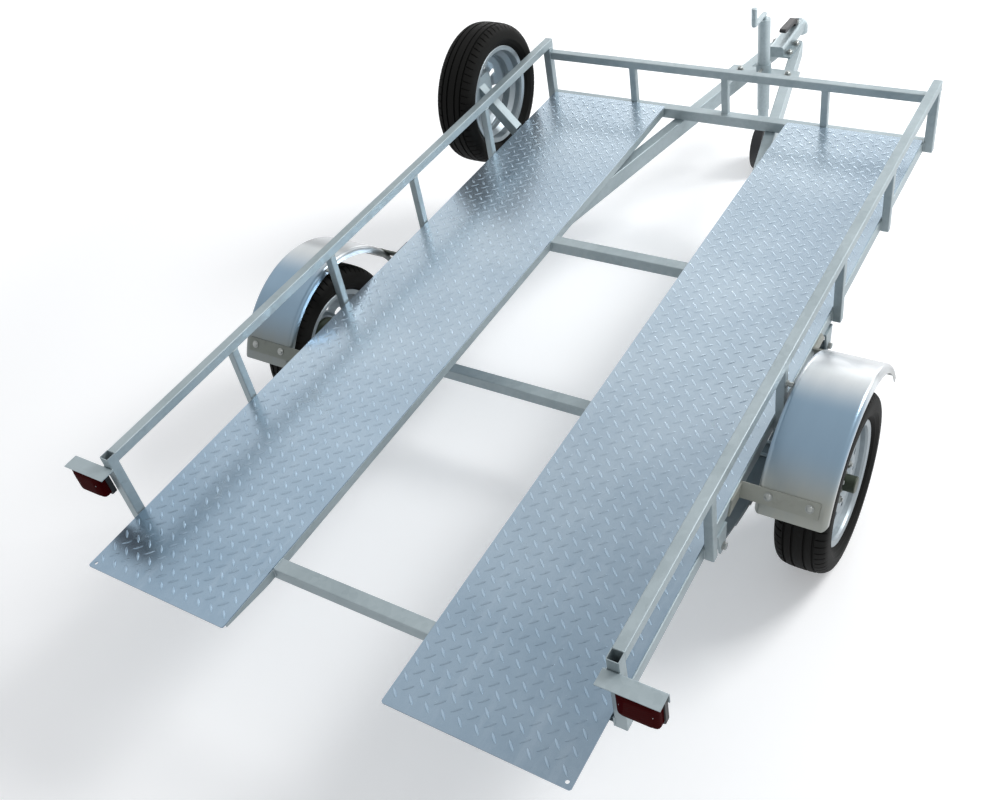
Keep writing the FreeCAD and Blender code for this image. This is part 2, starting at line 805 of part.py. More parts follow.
def support_bracket():
    """Cross plate on the drawbar with the clamp collar of the support wheel."""
    d = bracket_depth
    taper = d * (arm_rear_x - arm_front_x) / (arm_front_y - arm_rear_y)
    plate = plate_from([V(-bracket_half, support_y - d, frame_low),
                        V(bracket_half, support_y - d, frame_low),
                        V(bracket_half - 2 * taper, support_y + d, frame_low),
                        V(2 * taper - bracket_half, support_y + d, frame_low)],
                       V(0, 0, bracket_sheet))
    low = frame_low - collar_height / 3.0
    collar = cylinder(support_tube_r + collar_wall, collar_height, V(0, support_y, low), Z_AXIS)
    bore = cylinder(support_tube_r + support_play, 2 * collar_height,
                    V(0, support_y, low - collar_height / 2.0), Z_AXIS)
    return fused([plate, collar]).cut(bore)


def support_tube():
    """Outer tube, inner tube and fork of the support wheel."""
    r = support_wheel_r
    t = fork_sheet
    inner_r = support_tube_r - support_tube_wall
    crown = 2 * r + 3 * t
    half = support_wheel_width / 2.0 + fork_gap
    length = support_tube_top - support_tube_low
    outer = cylinder(support_tube_r, length, V(0, support_y, support_tube_low), Z_AXIS)
    bore = cylinder(inner_r, length - support_tube_wall, V(0, support_y, support_tube_low), Z_AXIS)
    inner = cylinder(inner_r, length / 2.0, V(0, support_y, crown), Z_AXIS)
    pieces = [outer.cut(bore), inner, box(-half - t, half + t, support_y - fork_half_depth,
                                          support_y + fork_half_depth, crown - t, crown)]
    for side in (-1, 1):
        cheek = outline(lambda y, z: V(side * half, support_y + y, z), (-fork_half_depth, crown), [
            (-2.0 * support_axle_r, r), (0, r - 2.0 * support_axle_r, 2.0 * support_axle_r, r),
            (fork_half_depth, crown)])
        pieces.append(Part.Face(cheek).extrude(V(side * t, 0, 0)))
    pieces.append(cylinder(support_axle_r, 2 * (half + 2 * t), V(-half - 2 * t, support_y, r), X_AXIS))
    return fused(pieces)


def support_wheel():
    """Solid-tyred support wheel resting on the ground."""
    r = support_wheel_r
    half = support_wheel_width / 2.0
    bore = support_axle_r + support_play
    web = half - 2 * fork_sheet
    rim_r = r * 0.72
    steps = [(-half - 2, 2.4 * bore), (-web, 2.6 * bore), (-web, rim_r), (-half, rim_r + 2),
             (-half, r - 7), (-half + 1.5, r - 1.5, -half + 7, r), (half - 7, r),
             (half - 1.5, r - 1.5, half, r - 7), (half, rim_r + 2), (web, rim_r),
             (web, 2.6 * bore), (half + 2, 2.4 * bore), (half + 2, bore)]
    return turned(V(0, support_y, r), (-half - 2, bore), steps)


def support_crank():
    """Winding handle on top of the support tube."""
    top = support_tube_top
    t = bracket_sheet
    arm_z = top + 3 * t
    shaft = cylinder(support_axle_r, arm_z - top + t, V(0, support_y, top), Z_AXIS)
    arm = box(-1.5 * t, 1.5 * t, support_y - crank_reach - 1.5 * t, support_y + 1.5 * t,
              arm_z, arm_z + t)
    arm = round_long_edges(arm, Z_AXIS, 1.4 * t)
    grip = cylinder(crank_grip_r, crank_grip_length, V(0, support_y - crank_reach, arm_z + t), Z_AXIS)
    rounds = [edge for edge in grip.Edges if edge.BoundBox.ZMin > arm_z + crank_grip_length - t]
    return fused([shaft, arm, grip.makeFillet(t / 2.0, rounds)])


save_pair("track_plate", track_plate())
save_pair("outer_beam", outer_beam())
save_pair("inner_beam", inner_beam())
save("rear_crossbar", crossbar(rear_cross_y, beam_in))
save("mid_crossbar", crossbar(mid_cross_y, beam_in))
save("front_crossbar", crossbar(front_cross_y, beam_out))
save_pair("side_rail", side_rail())
save("front_rail", front_rail())
save_pair("rear_post", rear_post())
save_pair("corner_post", corner_post())
save_pair("side_posts", side_posts())
save("front_posts", front_posts())
save_pair("mudguard", mudguard())
save_pair("guard_bars", guard_bars())
save_pair("lamp_shelf", lamp_shelf())
save_pair("lamp_base", lamp_base())
save_pair("lamp_lens", lamp_lens())
save("axle_beam", axle_beam())
save_pair("leaf_spring", leaf_spring())
save_pair("spring_hangers", spring_hangers())
save_pair("spring_clamp", spring_clamp())
save_pair("hub", hub())
wheel_centre = V(wheel_x, wheel_y, axle_z)
save_pair("rim", rim(wheel_centre, 1))
save_pair("wheel_disc", wheel_disc(wheel_centre, 1))
save_pair("tyre", tyre(wheel_centre))
spare_centre = V(spare_x, spare_y, spare_z)
save("spare_arm", spare_arm())
save("spare_rim", rim(spare_centre, -1))
save("spare_disc", wheel_disc(spare_centre, -1))
save("spare_tyre", tyre(spare_centre))
save_pair("drawbar_arm", drawbar_arm())
save("coupling_head", coupling_head())
save("coupling_handle", coupling_handle())
save("support_bracket", support_bracket())
save("support_tube", support_tube())
save("support_wheel", support_wheel())
save("support_crank", support_crank())
print("wrote", len(written), "pieces")
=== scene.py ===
"""Looks of a two-track flatbed trailer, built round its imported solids."""
import math

import bpy
import numpy as np
from bpy.props import FloatProperty, FloatVectorProperty, IntProperty, PointerProperty
from bpy.types import Operator, Panel, PropertyGroup
from mathutils import Matrix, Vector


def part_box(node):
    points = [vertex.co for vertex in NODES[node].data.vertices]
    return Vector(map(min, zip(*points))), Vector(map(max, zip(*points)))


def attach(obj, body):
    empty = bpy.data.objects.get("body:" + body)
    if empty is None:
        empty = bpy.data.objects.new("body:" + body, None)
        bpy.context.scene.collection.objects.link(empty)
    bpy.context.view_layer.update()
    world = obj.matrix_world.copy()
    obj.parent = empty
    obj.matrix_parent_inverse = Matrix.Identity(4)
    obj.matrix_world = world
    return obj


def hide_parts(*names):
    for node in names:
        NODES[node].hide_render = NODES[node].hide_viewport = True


bl_info = {
    "name": "Two-Track Trailer",
    "version": (1, 0, 0),
    "blender": (4, 5, 0),
    "location": "View3D > Sidebar > Trailer",
    "description": "Adds treads, tyres, lamps, fasteners, welds and finishes to a trailer",
    "category": "Add Mesh",
}

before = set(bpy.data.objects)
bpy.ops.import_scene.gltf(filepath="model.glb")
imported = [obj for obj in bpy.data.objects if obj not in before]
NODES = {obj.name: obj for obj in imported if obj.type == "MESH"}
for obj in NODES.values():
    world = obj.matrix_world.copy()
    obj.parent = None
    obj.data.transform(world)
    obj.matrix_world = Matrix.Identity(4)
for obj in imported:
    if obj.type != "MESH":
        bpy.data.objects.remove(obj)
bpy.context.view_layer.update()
CHASSIS = "chassis"

# Sign of X on each side
SIDES = {"left": -1, "right": 1}

# Tyre, rim, body and the way its nuts face
WHEELS = (("tyre_left", "rim_left", "wheel_left", -1),
          ("tyre_right", "rim_right", "wheel_right", 1),
          ("spare_tyre", "spare_rim", CHASSIS, -1))

# First bump of a track plate: from its left edge, and from its rear edge
FIRST_BUMP_INSET = {"left": 0.0216, "right": 0.0165}
FIRST_BUMP_AHEAD = 0.0340

# Bolts: face of the wheel discs from the rims' middle, radius of the circle
# of studs, and thickness of the washers
DISC_FACE = 0.030
STUD_CIRCLE = 0.050
STUDS = 4
WASHER = 0.0016

# Width across flats, height, radius of the bolt and how far it stands out
NUTS = {"wheel": (0.019, 0.014, 0.0058, 0.004), "plate": (0.019, 0.010, 0.0058, 0.003),
        "clamp": (0.016, 0.009, 0.0048, 0.0015), "hanger": (0.017, 0.008, 0.0055, 0.001)}

# Radii of the weld beads, and how far they stay from the edges of rails and
# of beams
THIN_BEAD = 0.0020
RAIL_BEAD = 0.0022
POST_BEAD = 0.0024
CORNER_BEAD = 0.0026
BEAD_INSET = 0.003
BEAM_CORNER = 0.004


# Settings

class TreadSizes(PropertyGroup):
    """Raised pattern of the track plates and the tyres' grooves."""
    pitch_across: FloatProperty(
        name="Pitch across", description="Distance across the plate between two like bumps",
        default=0.0434, min=0.02, unit="LENGTH")
    pitch_along: FloatProperty(
        name="Pitch along", description="Distance along the plate between two like bumps",
        default=0.0454, min=0.02, unit="LENGTH")
    length: FloatProperty(
        name="Bump length", description="Length of one bump",
        default=0.031, min=0.005, unit="LENGTH")
    width: FloatProperty(
        name="Bump width", description="Width of one bump at its middle",
        default=0.0072, min=0.001, unit="LENGTH")
    height: FloatProperty(
        name="Bump height", description="Height of one bump over the plate",
        default=0.0017, min=0.0002, unit="LENGTH")
    margin: FloatProperty(
        name="Edge margin", description="Plain strip along the plate's edges",
        default=0.004, min=0.0, unit="LENGTH")
    groove: FloatProperty(
        name="Groove depth", description="Depth of the grooves round the tyres",
        default=0.006, min=0.001, unit="LENGTH")
    blocks: IntProperty(
        name="Tread blocks", description="Blocks round one tyre", default=62, min=12)


def colour_setting(name, description, default):
    """Setting that holds a colour."""
    return FloatVectorProperty(name=name, description=description, default=default,
                               subtype="COLOR", min=0.0, max=1.0)


class FinishColours(PropertyGroup):
    """Colours of the trailer's finishes."""
    # The plates' bluish tone is partly a painted reflection of the sky
    plate_light: colour_setting(
        "Plate, light", "Lighter zinc of the track plates", (0.36, 0.455, 0.54))
    # Painted highlight: how much paler the left-leaning bumps are painted than the plate
    bump: FloatProperty(
        name="Bumps", description="How much paler the bumps are than the plate",
        default=1.35, min=0.5, max=1.8, subtype="FACTOR")
    plate_dark: colour_setting(
        "Plate, dark", "Darker zinc of the track plates", (0.235, 0.325, 0.41))
    zinc_light: colour_setting(
        "Tube, light", "Lighter zinc of the tubes", (0.40, 0.465, 0.49))
    zinc_dark: colour_setting(
        "Tube, dark", "Darker zinc of the tubes", (0.25, 0.305, 0.325))
    # The mudguards' blue is partly a painted reflection of the sky
    guard: colour_setting(
        "Mudguard", "Smooth zinc of the mudguards", (0.200, 0.297, 0.390))
    wheel: colour_setting(
        "Wheel", "Zinc of the pressed wheels", (0.36, 0.41, 0.44))
    rubber: colour_setting(
        "Rubber", "Rubber of the tyres", (0.0062, 0.0062, 0.0057))
    # The lens red is painted darker than the lamp's own red, as painted shade
    lens: colour_setting(
        "Lens", "Red of the tail lamps", (0.050, 0.0015, 0.0020))


class StudioSettings(PropertyGroup):
    """Lamps over the trailer."""
    key: FloatProperty(
        name="Key lamp", description="Power of the large lamp ahead of the trailer",
        default=300.0, min=0.0, unit="POWER")
    fill: FloatProperty(
        name="Fill lamp", description="Power of the lamp above and to the left of the trailer",
        default=15.0, min=0.0, unit="POWER")
    strip: FloatProperty(
        name="Strip lamp", description="Power of the wide low lamp ahead, which the steel mirrors",
        default=170.0, min=0.0, unit="POWER")
    sky: FloatProperty(
        name="Sky", description="Strength of the light from all round",
        default=0.5, min=0.0)


# Shells

class Shell:
    """Points with four- and three-cornered faces."""

    def __init__(self, points, quads, tris=()):
        self.points = np.asarray(points, float)
        self.quads = np.asarray(quads, int)
        self.tris = np.asarray(tris, int).reshape(-1, 3)

    def facing_out(self):
        """The same shell with its faces outwards: the sum of the tetrahedra
        from the origin to each triangle is the volume, negative when they
        point inwards."""
        corners = np.concatenate([self.quads[:, [0, 1, 2]], self.quads[:, [0, 2, 3]], self.tris])
        a, b, c = (self.points[corners[:, k]] for k in range(3))
        if np.einsum("ij,ij->", a, np.cross(b, c)) < 0:
            return Shell(self.points, self.quads[:, ::-1], self.tris[:, ::-1])
        return self

    def copies(self, turns, spots):
        """One copy for each turn matrix and spot: point = turn times local
        point plus spot."""
        turns = np.asarray(turns, float).reshape(-1, 3, 3)
        spots = np.asarray(spots, float).reshape(-1, 3)
        count = len(spots)
        turns = np.broadcast_to(turns, (count, 3, 3))
        points = np.einsum("nij,pj->npi", turns, self.points) + spots[:, None]
        shift = np.arange(count)[:, None, None] * len(self.points)
        return Shell(points.reshape(-1, 3), (self.quads + shift).reshape(-1, 4),
                     (self.tris + shift).reshape(-1, 3))


def joined(shells):
    """One shell out of several."""
    starts = np.cumsum([0] + [len(s.points) for s in shells[:-1]])
    return Shell(np.concatenate([s.points for s in shells]),
                 np.concatenate([s.quads + n for s, n in zip(shells, starts)]),
                 np.concatenate([s.tris + n for s, n in zip(shells, starts)]))


def ring_shell(rings, ends=()):
    """Surface over an array of rings with the same number of points. Two ends
    are the points that close its first and last ring. Without ends the last
    ring joins the first."""
    count, size = rings.shape[:2]
    rows = count - 1 if ends else count
    row, k = (g.ravel() for g in np.meshgrid(np.arange(rows), np.arange(size), indexing="ij"))
    low, high, after = row * size, (row + 1) % count * size, (k + 1) % size
    quads = np.stack([low + k, high + k, high + after, low + after], 1)
    points = rings.reshape(-1, 3)
    if not ends:
        return Shell(points, quads).facing_out()
    k = np.arange(size)
    after = (k + 1) % size
    base = (count - 1) * size
    first, last = np.full(size, len(points)), np.full(size, len(points) + 1)
    tris = np.concatenate([np.stack([first, k, after], 1),
                           np.stack([last, base + after, base + k], 1)])
    return Shell(np.concatenate([points, ends]), quads, tris).facing_out()


def lathe(profile, steps):
    """Surface turned about Z from (height, radius) pairs: a point is
    (radius cos t, radius sin t, height). The first and last pair have no
    radius and close it."""
    profile = np.asarray(profile, float)
    turn = np.linspace(0, 2 * math.pi, steps, endpoint=False)
    height, radius = profile[1:-1].T
    rings = np.stack([np.outer(radius, np.cos(turn)), np.outer(radius, np.sin(turn)),
                      np.repeat(height[:, None], steps, 1)], -1)
    return ring_shell(rings, [[0, 0, profile[0, 0]], [0, 0, profile[-1, 0]]])


def rod_profile(low, high, radius):
    """Profile of a plain rod or washer between two heights."""
    return [(low, 0.0), (low, radius), (high, radius), (high, 0.0)]


def turn_to(axis, up=(0.0, 0.0, 1.0)):
    """Matrix that takes local Z to an axis and local X towards up."""
    z = np.asarray(axis, float)
    z = z / np.linalg.norm(z)
    x = np.asarray(up, float)
    if abs(x @ z) > 0.95:
        x = np.array([0.0, 1.0, 0.0])
    x = x - z * (x @ z)
    x = x / np.linalg.norm(x)
    return np.stack([x, np.cross(z, x), z], 1)


def add_piece(name, shell, body, look, crease=38.0):
    """Put a shell into a mesh at the origin that rides on a body. Edges
    sharper than the crease, in degrees, stay sharp."""
    mesh = bpy.data.meshes.new(name)
    faces = shell.quads.tolist() + shell.tris.tolist()
    mesh.from_pydata(shell.points.tolist(), [], faces)
    mesh.polygons.foreach_set("use_smooth", [True] * len(faces))
    mesh.set_sharp_from_angle(angle=math.radians(crease))
    mesh.materials.append(look)
    piece = bpy.data.objects.new(name, mesh)
    bpy.context.scene.collection.objects.link(piece)
    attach(piece, body)
    return piece


def coat(names, look):
    """Give CAD nodes a finish."""
    for name in names:
        mesh = NODES[name].data
        mesh.materials.clear()
        mesh.materials.append(look)


def both(name):
    """A node's name on each side."""
    return [name + "_" + side for side in SIDES]


def corners(node):
    """Lowest and highest corner of a node as arrays."""
    low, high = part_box(node)
    return np.array(low, float), np.array(high, float)


# Shader sums

class Value:
    """Output of a shader node that can be used in sums."""

    def __init__(self, graph, socket):
        self.graph = graph
        self.socket = socket

    def result(self, operation, *terms):
        """Math node on some terms."""
        return self.graph.node("ShaderNodeMath", {"operation": operation}, dict(enumerate(terms)))

    def __add__(self, other):
        return self.result("ADD", self, other)

    def __radd__(self, other):
        return self.result("ADD", other, self)

    def __sub__(self, other):
        return self.result("SUBTRACT", self, other)

    def __rsub__(self, other):
        return self.result("SUBTRACT", other, self)

    def __mul__(self, other):
        return self.result("MULTIPLY", self, other)

    def __rmul__(self, other):
        return self.result("MULTIPLY", other, self)

    def sine(self):
        """Sine of this output."""
        return self.result("SINE", self)

    def clipped(self):
        """This output kept between 0 and 1."""
        return self.graph.node("ShaderNodeClamp", {}, {0: self})

    def band(self, low, high):
        """0 below low, 1 above high and smooth between them."""
        return self.graph.node("ShaderNodeMapRange", {"interpolation_type": "SMOOTHSTEP"},
                               {0: self, 1: low, 2: high, 3: 0.0, 4: 1.0})


class Graph:
    """Node tree that is emptied and written anew."""

    def __init__(self, tree):
        self.tree = tree
        tree.nodes.clear()

    def node(self, kind, settings, sockets, out=0):
        """One output of a new node, with its settings made first and its
        sockets fed after. A last node has no output."""
        node = self.tree.nodes.new(kind)
        for key, setting in settings.items():
            setattr(node, key, setting)
        for key, feed in sockets.items():
            if isinstance(feed, Value):
                self.tree.links.new(feed.socket, node.inputs[key])
            else:
                node.inputs[key].default_value = feed
        return Value(self, node.outputs[out]) if node.outputs else None

    def seen_plainly(self):
        """Output that is 1 where the camera, a mirror or glass looks at a
        background, and 0 where the background lights the trailer."""
        camera, mirror, glass = (self.node("ShaderNodeLightPath", {}, {}, f"Is {ray} Ray")
                                 for ray in ("Camera", "Glossy", "Transmission"))
        either = camera.result("MAXIMUM", camera, mirror)
        return either.result("MAXIMUM", either, glass)


class Finish(Graph):
    """A material that is written as sums of textures in object space."""

    def __init__(self, name):
        self.material = bpy.data.materials.new(name)
        self.material.use_nodes = True
        super().__init__(self.material.node_tree)
        self.place = self.node("ShaderNodeTexCoord", {}, {}, "Object")

    def along(self, axis):
        """Distance along one axis."""
        return self.node("ShaderNodeSeparateXYZ", {}, {0: self.place}, axis)

    def stretched(self, amounts):
        """Object space scaled along its axes."""
        return self.node("ShaderNodeVectorMath", {"operation": "MULTIPLY"},
                         {0: self.place, 1: amounts})

    def noise(self, scale, detail, rough=0.5, place=None):
        """Cloudy texture."""
        return self.node("ShaderNodeTexNoise", {},
                         {"Vector": place or self.place, "Scale": scale, "Detail": detail,
                          "Roughness": rough}, "Fac")

    def cells(self, scale):
        """Cells as zinc crystals make them."""
        return self.node("ShaderNodeTexVoronoi", {}, {"Vector": self.place, "Scale": scale},
                         "Color")

    def blend(self, factor, first, second):
        """Colour between two others."""
        feeds = {0: factor, 6: first, 7: second}
        for key in (6, 7):
            if not isinstance(feeds[key], Value):
                feeds[key] = (*feeds[key], 1.0)
        return self.node("ShaderNodeMix", {"data_type": "RGBA"}, feeds, 2)

    def relief(self, height, distance, strength):
        """Bump from a height."""
        return self.node("ShaderNodeBump", {}, {"Height": height, "Distance": distance,
                                                "Strength": strength})

    def principled(self, colour, roughness, metallic=0.0, normal=None, fixed=None):
        """Surface shader, with its other sockets in fixed."""
        feeds = {"Base Color": colour, "Roughness": roughness, "Metallic": metallic}
        if not isinstance(colour, Value):
            feeds["Base Color"] = (*colour, 1.0)
        if normal is not None:
            feeds["Normal"] = normal
        feeds.update(fixed or {})
        return self.node("ShaderNodeBsdfPrincipled", {}, feeds)

    def output(self, shader):
        """The material, with a shader as its surface."""
        self.node("ShaderNodeOutputMaterial", {}, {0: shader})
        return self.material

    def done(self, *surface):
        """The material, with one principled shader."""
        return self.output(self.principled(*surface))


# Finishes

MADE = {}


def finish(name, recipe, *details):
    """A finish that is made once and then shared."""
    if name not in MADE:
        MADE[name] = recipe(name, *details)
    return MADE[name]


def scaled(colour, level):
    """A colour times a number."""
    return tuple(level * c for c in colour)


def tinted(colour, tint, level):
    """A colour times a number for each of its channels and one for all."""
    return tuple(level * k * c for k, c in zip(tint, colour))


def zinc(name, light, dark, crystal=70.0, gloss=0.40, metal=0.55):
    """Hot-dip zinc: crystals, cloudy tone and slight grain."""
    f = Finish(name)
    crystals = f.cells(crystal)
    clouds = f.noise(3.5, 4.0, 0.55)
    streaks = f.noise(9.0, 3.0, 0.6, f.stretched((1.0, 0.35, 2.2)))
    tone = (crystals * 0.30 + clouds.band(0.32, 0.68) * 0.45 + streaks * 0.35).clipped()
    grime = (f.noise(16.0, 5.0, 0.7).band(0.60, 0.78) * 0.35).clipped()
    colour = f.blend(grime, f.blend(tone, dark, light), scaled(dark, 0.62))
    rough = gloss + crystals * 0.10 + clouds * 0.12
    grain = f.noise(220.0, 2.0) * 0.5 + crystals * 0.5
    return f.done(colour, rough, metal, f.relief(grain, 0.00025, 0.5))


def plate_zinc(name, light, dark, rear=1.0, front=1.0, gloss=0.20):
    """Zinc of the chequer plate with scuffs along the wheel track, painted darker
    towards the rear and paler towards the front as a painted reflection of the
    sky. Its colours are multiplied by one number at the rear and by another at the front."""
    # Painted reflection: the plate is painted darker at the rear and paler towards the front, with
    # a painted sheen ahead
    rear_reflection_light, front_reflection_light = (0.82, 0.84, 0.86), (1.36, 1.28, 1.22)
    rear_reflection_dark, front_reflection_dark = (0.84, 0.86, 0.88), (1.52, 1.38, 1.30)
    scuff_and_highlight, dirty = (0.50, 0.58, 0.65), (0.15, 0.17, 0.18)
    f = Finish(name)
    ahead = f.along("Y").band(-1.75, -0.10)
    light = f.blend(ahead, tinted(light, rear_reflection_light, rear), tinted(light, front_reflection_light, front))
    dark = f.blend(ahead, tinted(dark, rear_reflection_dark, rear), tinted(dark, front_reflection_dark, front))
    clouds = f.noise(2.2, 5.0, 0.55)
    fine = f.noise(55.0, 3.0, 0.6)
    crystals = f.cells(95.0)
    scuffs = f.noise(7.0, 4.0, 0.6, f.stretched((4.0, 0.6, 1.0))).band(0.52, 0.72)
    tone = (clouds.band(0.30, 0.70) * 0.55 + fine * 0.25 + crystals * 0.15).clipped()
    colour = f.blend(scuffs * 0.10, f.blend(tone, dark, light), scuff_and_highlight)
    dirt_and_shade = f.noise(5.5, 6.0, 0.72).band(0.60, 0.80) * 0.30
    colour = f.blend(dirt_and_shade, colour, dirty)
    rough = gloss + fine * 0.10 + dirt_and_shade * 0.5
    return f.done(colour, rough, 0.8, f.relief(fine, 0.0002, 0.35))


def guard_zinc(name, colour, dirt_and_shade, middle):
    """Smooth sheet with a soft mirror and painted reflections: bluish behind as a
    painted sky reflection, palest over the crown as a painted highlight, grey in front
    of it as a painted reflection, and darker and greyer towards its low ends. Middle is where the
    crown lies along the trailer."""
    # Painted highlight over the crown, painted reflection ahead of it in grey
    crown, front, front_low_tone = (0.62, 0.65, 0.66), (0.36, 0.375, 0.385), (0.19, 0.195, 0.18)
    f = Finish(name)
    streaks = f.noise(6.0, 3.0, 0.5, f.stretched((6.0, 1.0, 1.0)))
    clouds = f.noise(2.5, 3.0)
    drift = (clouds - 0.5) * 0.02
    ahead = f.along("Y") + drift - middle
    light = f.blend(ahead.band(-0.083, 0.047), colour, crown)
    light = f.blend(ahead.band(0.055, 0.100), light, front)
    # Darker and greyer low down; on the left guard this low colour is painted shade
    dirt_and_shade = f.blend(ahead.band(-0.05, 0.05), dirt_and_shade, front_low_tone)
    light = f.blend((f.along("Z") + drift).band(0.45, 0.55), dirt_and_shade, light)
    tone = (streaks * 0.5 + clouds * 0.5).band(0.30, 0.75)
    light = f.blend(tone * 0.18, light, scaled(colour, 0.75))
    rough = 0.22 + clouds * 0.14 + streaks * 0.06
    return f.done(light, rough, 0.65, f.relief(clouds, 0.0006, 0.3),
                  {"Coat Weight": 0.4, "Coat Roughness": 0.18})


def rubber(name, colour):
    """Tyre rubber, dusty on the tread and duller with age."""
    dusty = (0.021, 0.020, 0.017)
    f = Finish(name)
    dust = f.noise(9.0, 5.0, 0.65).band(0.48, 0.80) * 0.30
    grain = f.noise(320.0, 2.0)
    rough = 0.62 + dust * 0.5 + grain * 0.08
    return f.done(f.blend(dust, colour, dusty), rough, 0.0, f.relief(grain, 0.0003, 0.4),
                  {"Specular IOR Level": 0.10})


def lens_red(name, colour):
    """Moulded red lens with fine prisms behind a glossy skin."""
    ridges = 900.0
    f = Finish(name)
    prisms = (f.along("X") * ridges).sine() * (f.along("Z") * ridges).sine()
    depth = prisms * 0.5 + 0.5
    shade = f.blend(depth, scaled(colour, 0.55), scaled(colour, 1.25))
    return f.done(shade, 0.22 + depth * 0.10, 0.0, None,
                  {"Coat Weight": 0.05, "Coat Roughness": 0.10, "Specular IOR Level": 0.0})


def moulded_black(name):
    """Black moulded plastic with a fine grain."""
    colour = (0.018, 0.018, 0.020)
    f = Finish(name)
    grain = f.noise(400.0, 2.0)
    wear = f.noise(14.0, 4.0).band(0.55, 0.75) * 0.3
    return f.done(f.blend(wear, colour, scaled(colour, 2.6)), 0.48 + grain * 0.15, 0.0,
                  f.relief(grain, 0.0002, 0.5))


def dark_iron(name):
    """Cast hub with a thin film of grease."""
    colour = (0.032, 0.042, 0.027)
    f = Finish(name)
    mottle = f.noise(28.0, 4.0, 0.6)
    shade = f.blend(mottle, scaled(colour, 0.6), scaled(colour, 1.5))
    return f.done(shade, 0.32 + mottle * 0.25, 0.45, f.relief(mottle, 0.0008, 0.5))


def bright_bolt(name):
    """Bright zinc of bolts and nuts."""
    colour = (0.36, 0.38, 0.37)
    f = Finish(name)
    mottle = f.noise(120.0, 3.0)
    return f.done(f.blend(mottle, scaled(colour, 0.7), colour), 0.28 + mottle * 0.2, 0.75,
                  f.relief(mottle, 0.0003, 0.4))


def colours():
    """The colour settings."""
    return bpy.context.scene.trailer_colours


def tube_finish():
    """Finish of the frame's tubes."""
    c = colours()
    return finish("Galvanised tube", zinc, tuple(c.zinc_light), tuple(c.zinc_dark))


def plate_finish(side, name="Chequer plate zinc", tone=1.0, fade=1.0, gloss=0.20):
    """Finish of one track plate, or of a set of bumps in another tone: a painted
    highlight that fades towards the front on one set, painted shade on the other. The right plate
    is painted a little darker at its rear as painted reflection."""
    # Painted reflection: each side's plate is painted darker at the rear and paler at the front
    rear, front = {"left": (1.02, 1.10), "right": (0.88, 1.08)}[side]
    c = colours()
    return finish(f"{name} {side}", plate_zinc, tuple(c.plate_light), tuple(c.plate_dark),
                  tone * rear, tone * fade * front, gloss)


def bolt_finish():
    """Finish of bolts, nuts and washers."""
    return finish("Bright bolt zinc", bright_bolt)


# Pieces

def bump_shell(length, width, height):
    """One lens-shaped bump along X: half width is width / 2 times
    (1 - a a) to the power 0.8 for a from -1 to 1 along the length, the top
    is height times the root of (1 - a a) times the sine of the turn, and the
    underside lies a little below the plate."""
    sink = 0.0004
    a = np.array([-0.86, -0.5, 0.0, 0.5, 0.86])
    turn = np.radians([0.0, 42.0, 90.0, 138.0, 180.0, 270.0])
    half = 0.5 * width * (1 - a ** 2) ** 0.8
    rise = height * np.sqrt(1 - a ** 2)
    x = np.repeat(a[:, None] * length / 2, len(turn), 1)
    y = np.outer(half, np.cos(turn))
    z = np.outer(rise, np.sin(turn))
    z[:, [0, 4]] = -sink * 0.5
    z[:, 5] = -sink
    ends = [[-length / 2, 0, -sink * 0.5], [length / 2, 0, -sink * 0.5]]
    return ring_shell(np.stack([x, y, z], -1), ends)


def tread_spots(low, high, first, pitch, margin):
    """Centres of the bumps of one set: a grid that runs through a first bump
    and stays clear of the plate's edges by a margin."""
    lines = []
    for k in range(2):
        start = first[k] + math.ceil((low[k] + margin - first[k]) / pitch[k]) * pitch[k]
        lines.append(np.arange(start, high[k] - margin, pitch[k]))
    x, y = (k.ravel() for k in np.meshgrid(*lines, indexing="ij"))
    return np.stack([x, y, np.full(len(x), high[2])], 1)


def plate_bumps(side, sizes):
    """Two sets of bumps of one plate, leaning 45 degrees to the left and to
    the right. The second set lies half a pitch further each way."""
    lean = math.pi / 4
    low, high = corners("track_plate_" + side)
    shell = bump_shell(sizes.length, sizes.width, sizes.height)
    margin = sizes.margin + sizes.length / 2 * math.cos(lean)
    pitch = np.array([sizes.pitch_across, sizes.pitch_along])
    first = low[:2] + (FIRST_BUMP_INSET[side], FIRST_BUMP_AHEAD)
    sets = []
    for angle, shift in ((-lean, 0.0), (lean, 0.5)):
        c, s = math.cos(angle), math.sin(angle)
        turn = np.array([[c, -s, 0.0], [s, c, 0.0], [0.0, 0.0, 1.0]])
        spots = tread_spots(low, high, first + shift * pitch, pitch, margin)
        sets.append(shell.copies(turn, spots))
    return sets


def groove_profile(depth):
    """Tread line of a tyre as (offset, drop) from its middle to one side: ribs
    at no drop, with rounded steps down to the depth of two grooves."""
    half, soft, steep = 0.0033, 0.0006, 0.0008
    lines = [(0.0, 0.0)]
    for middle in (0.0160, 0.0390):
        near, far = middle - half, middle + half
        lines += [(near - soft, 0.0), (near, soft), (near + steep, depth), (middle, depth),
                  (far - steep, depth), (far, soft), (far + soft, 0.0)]
    return np.array(lines)


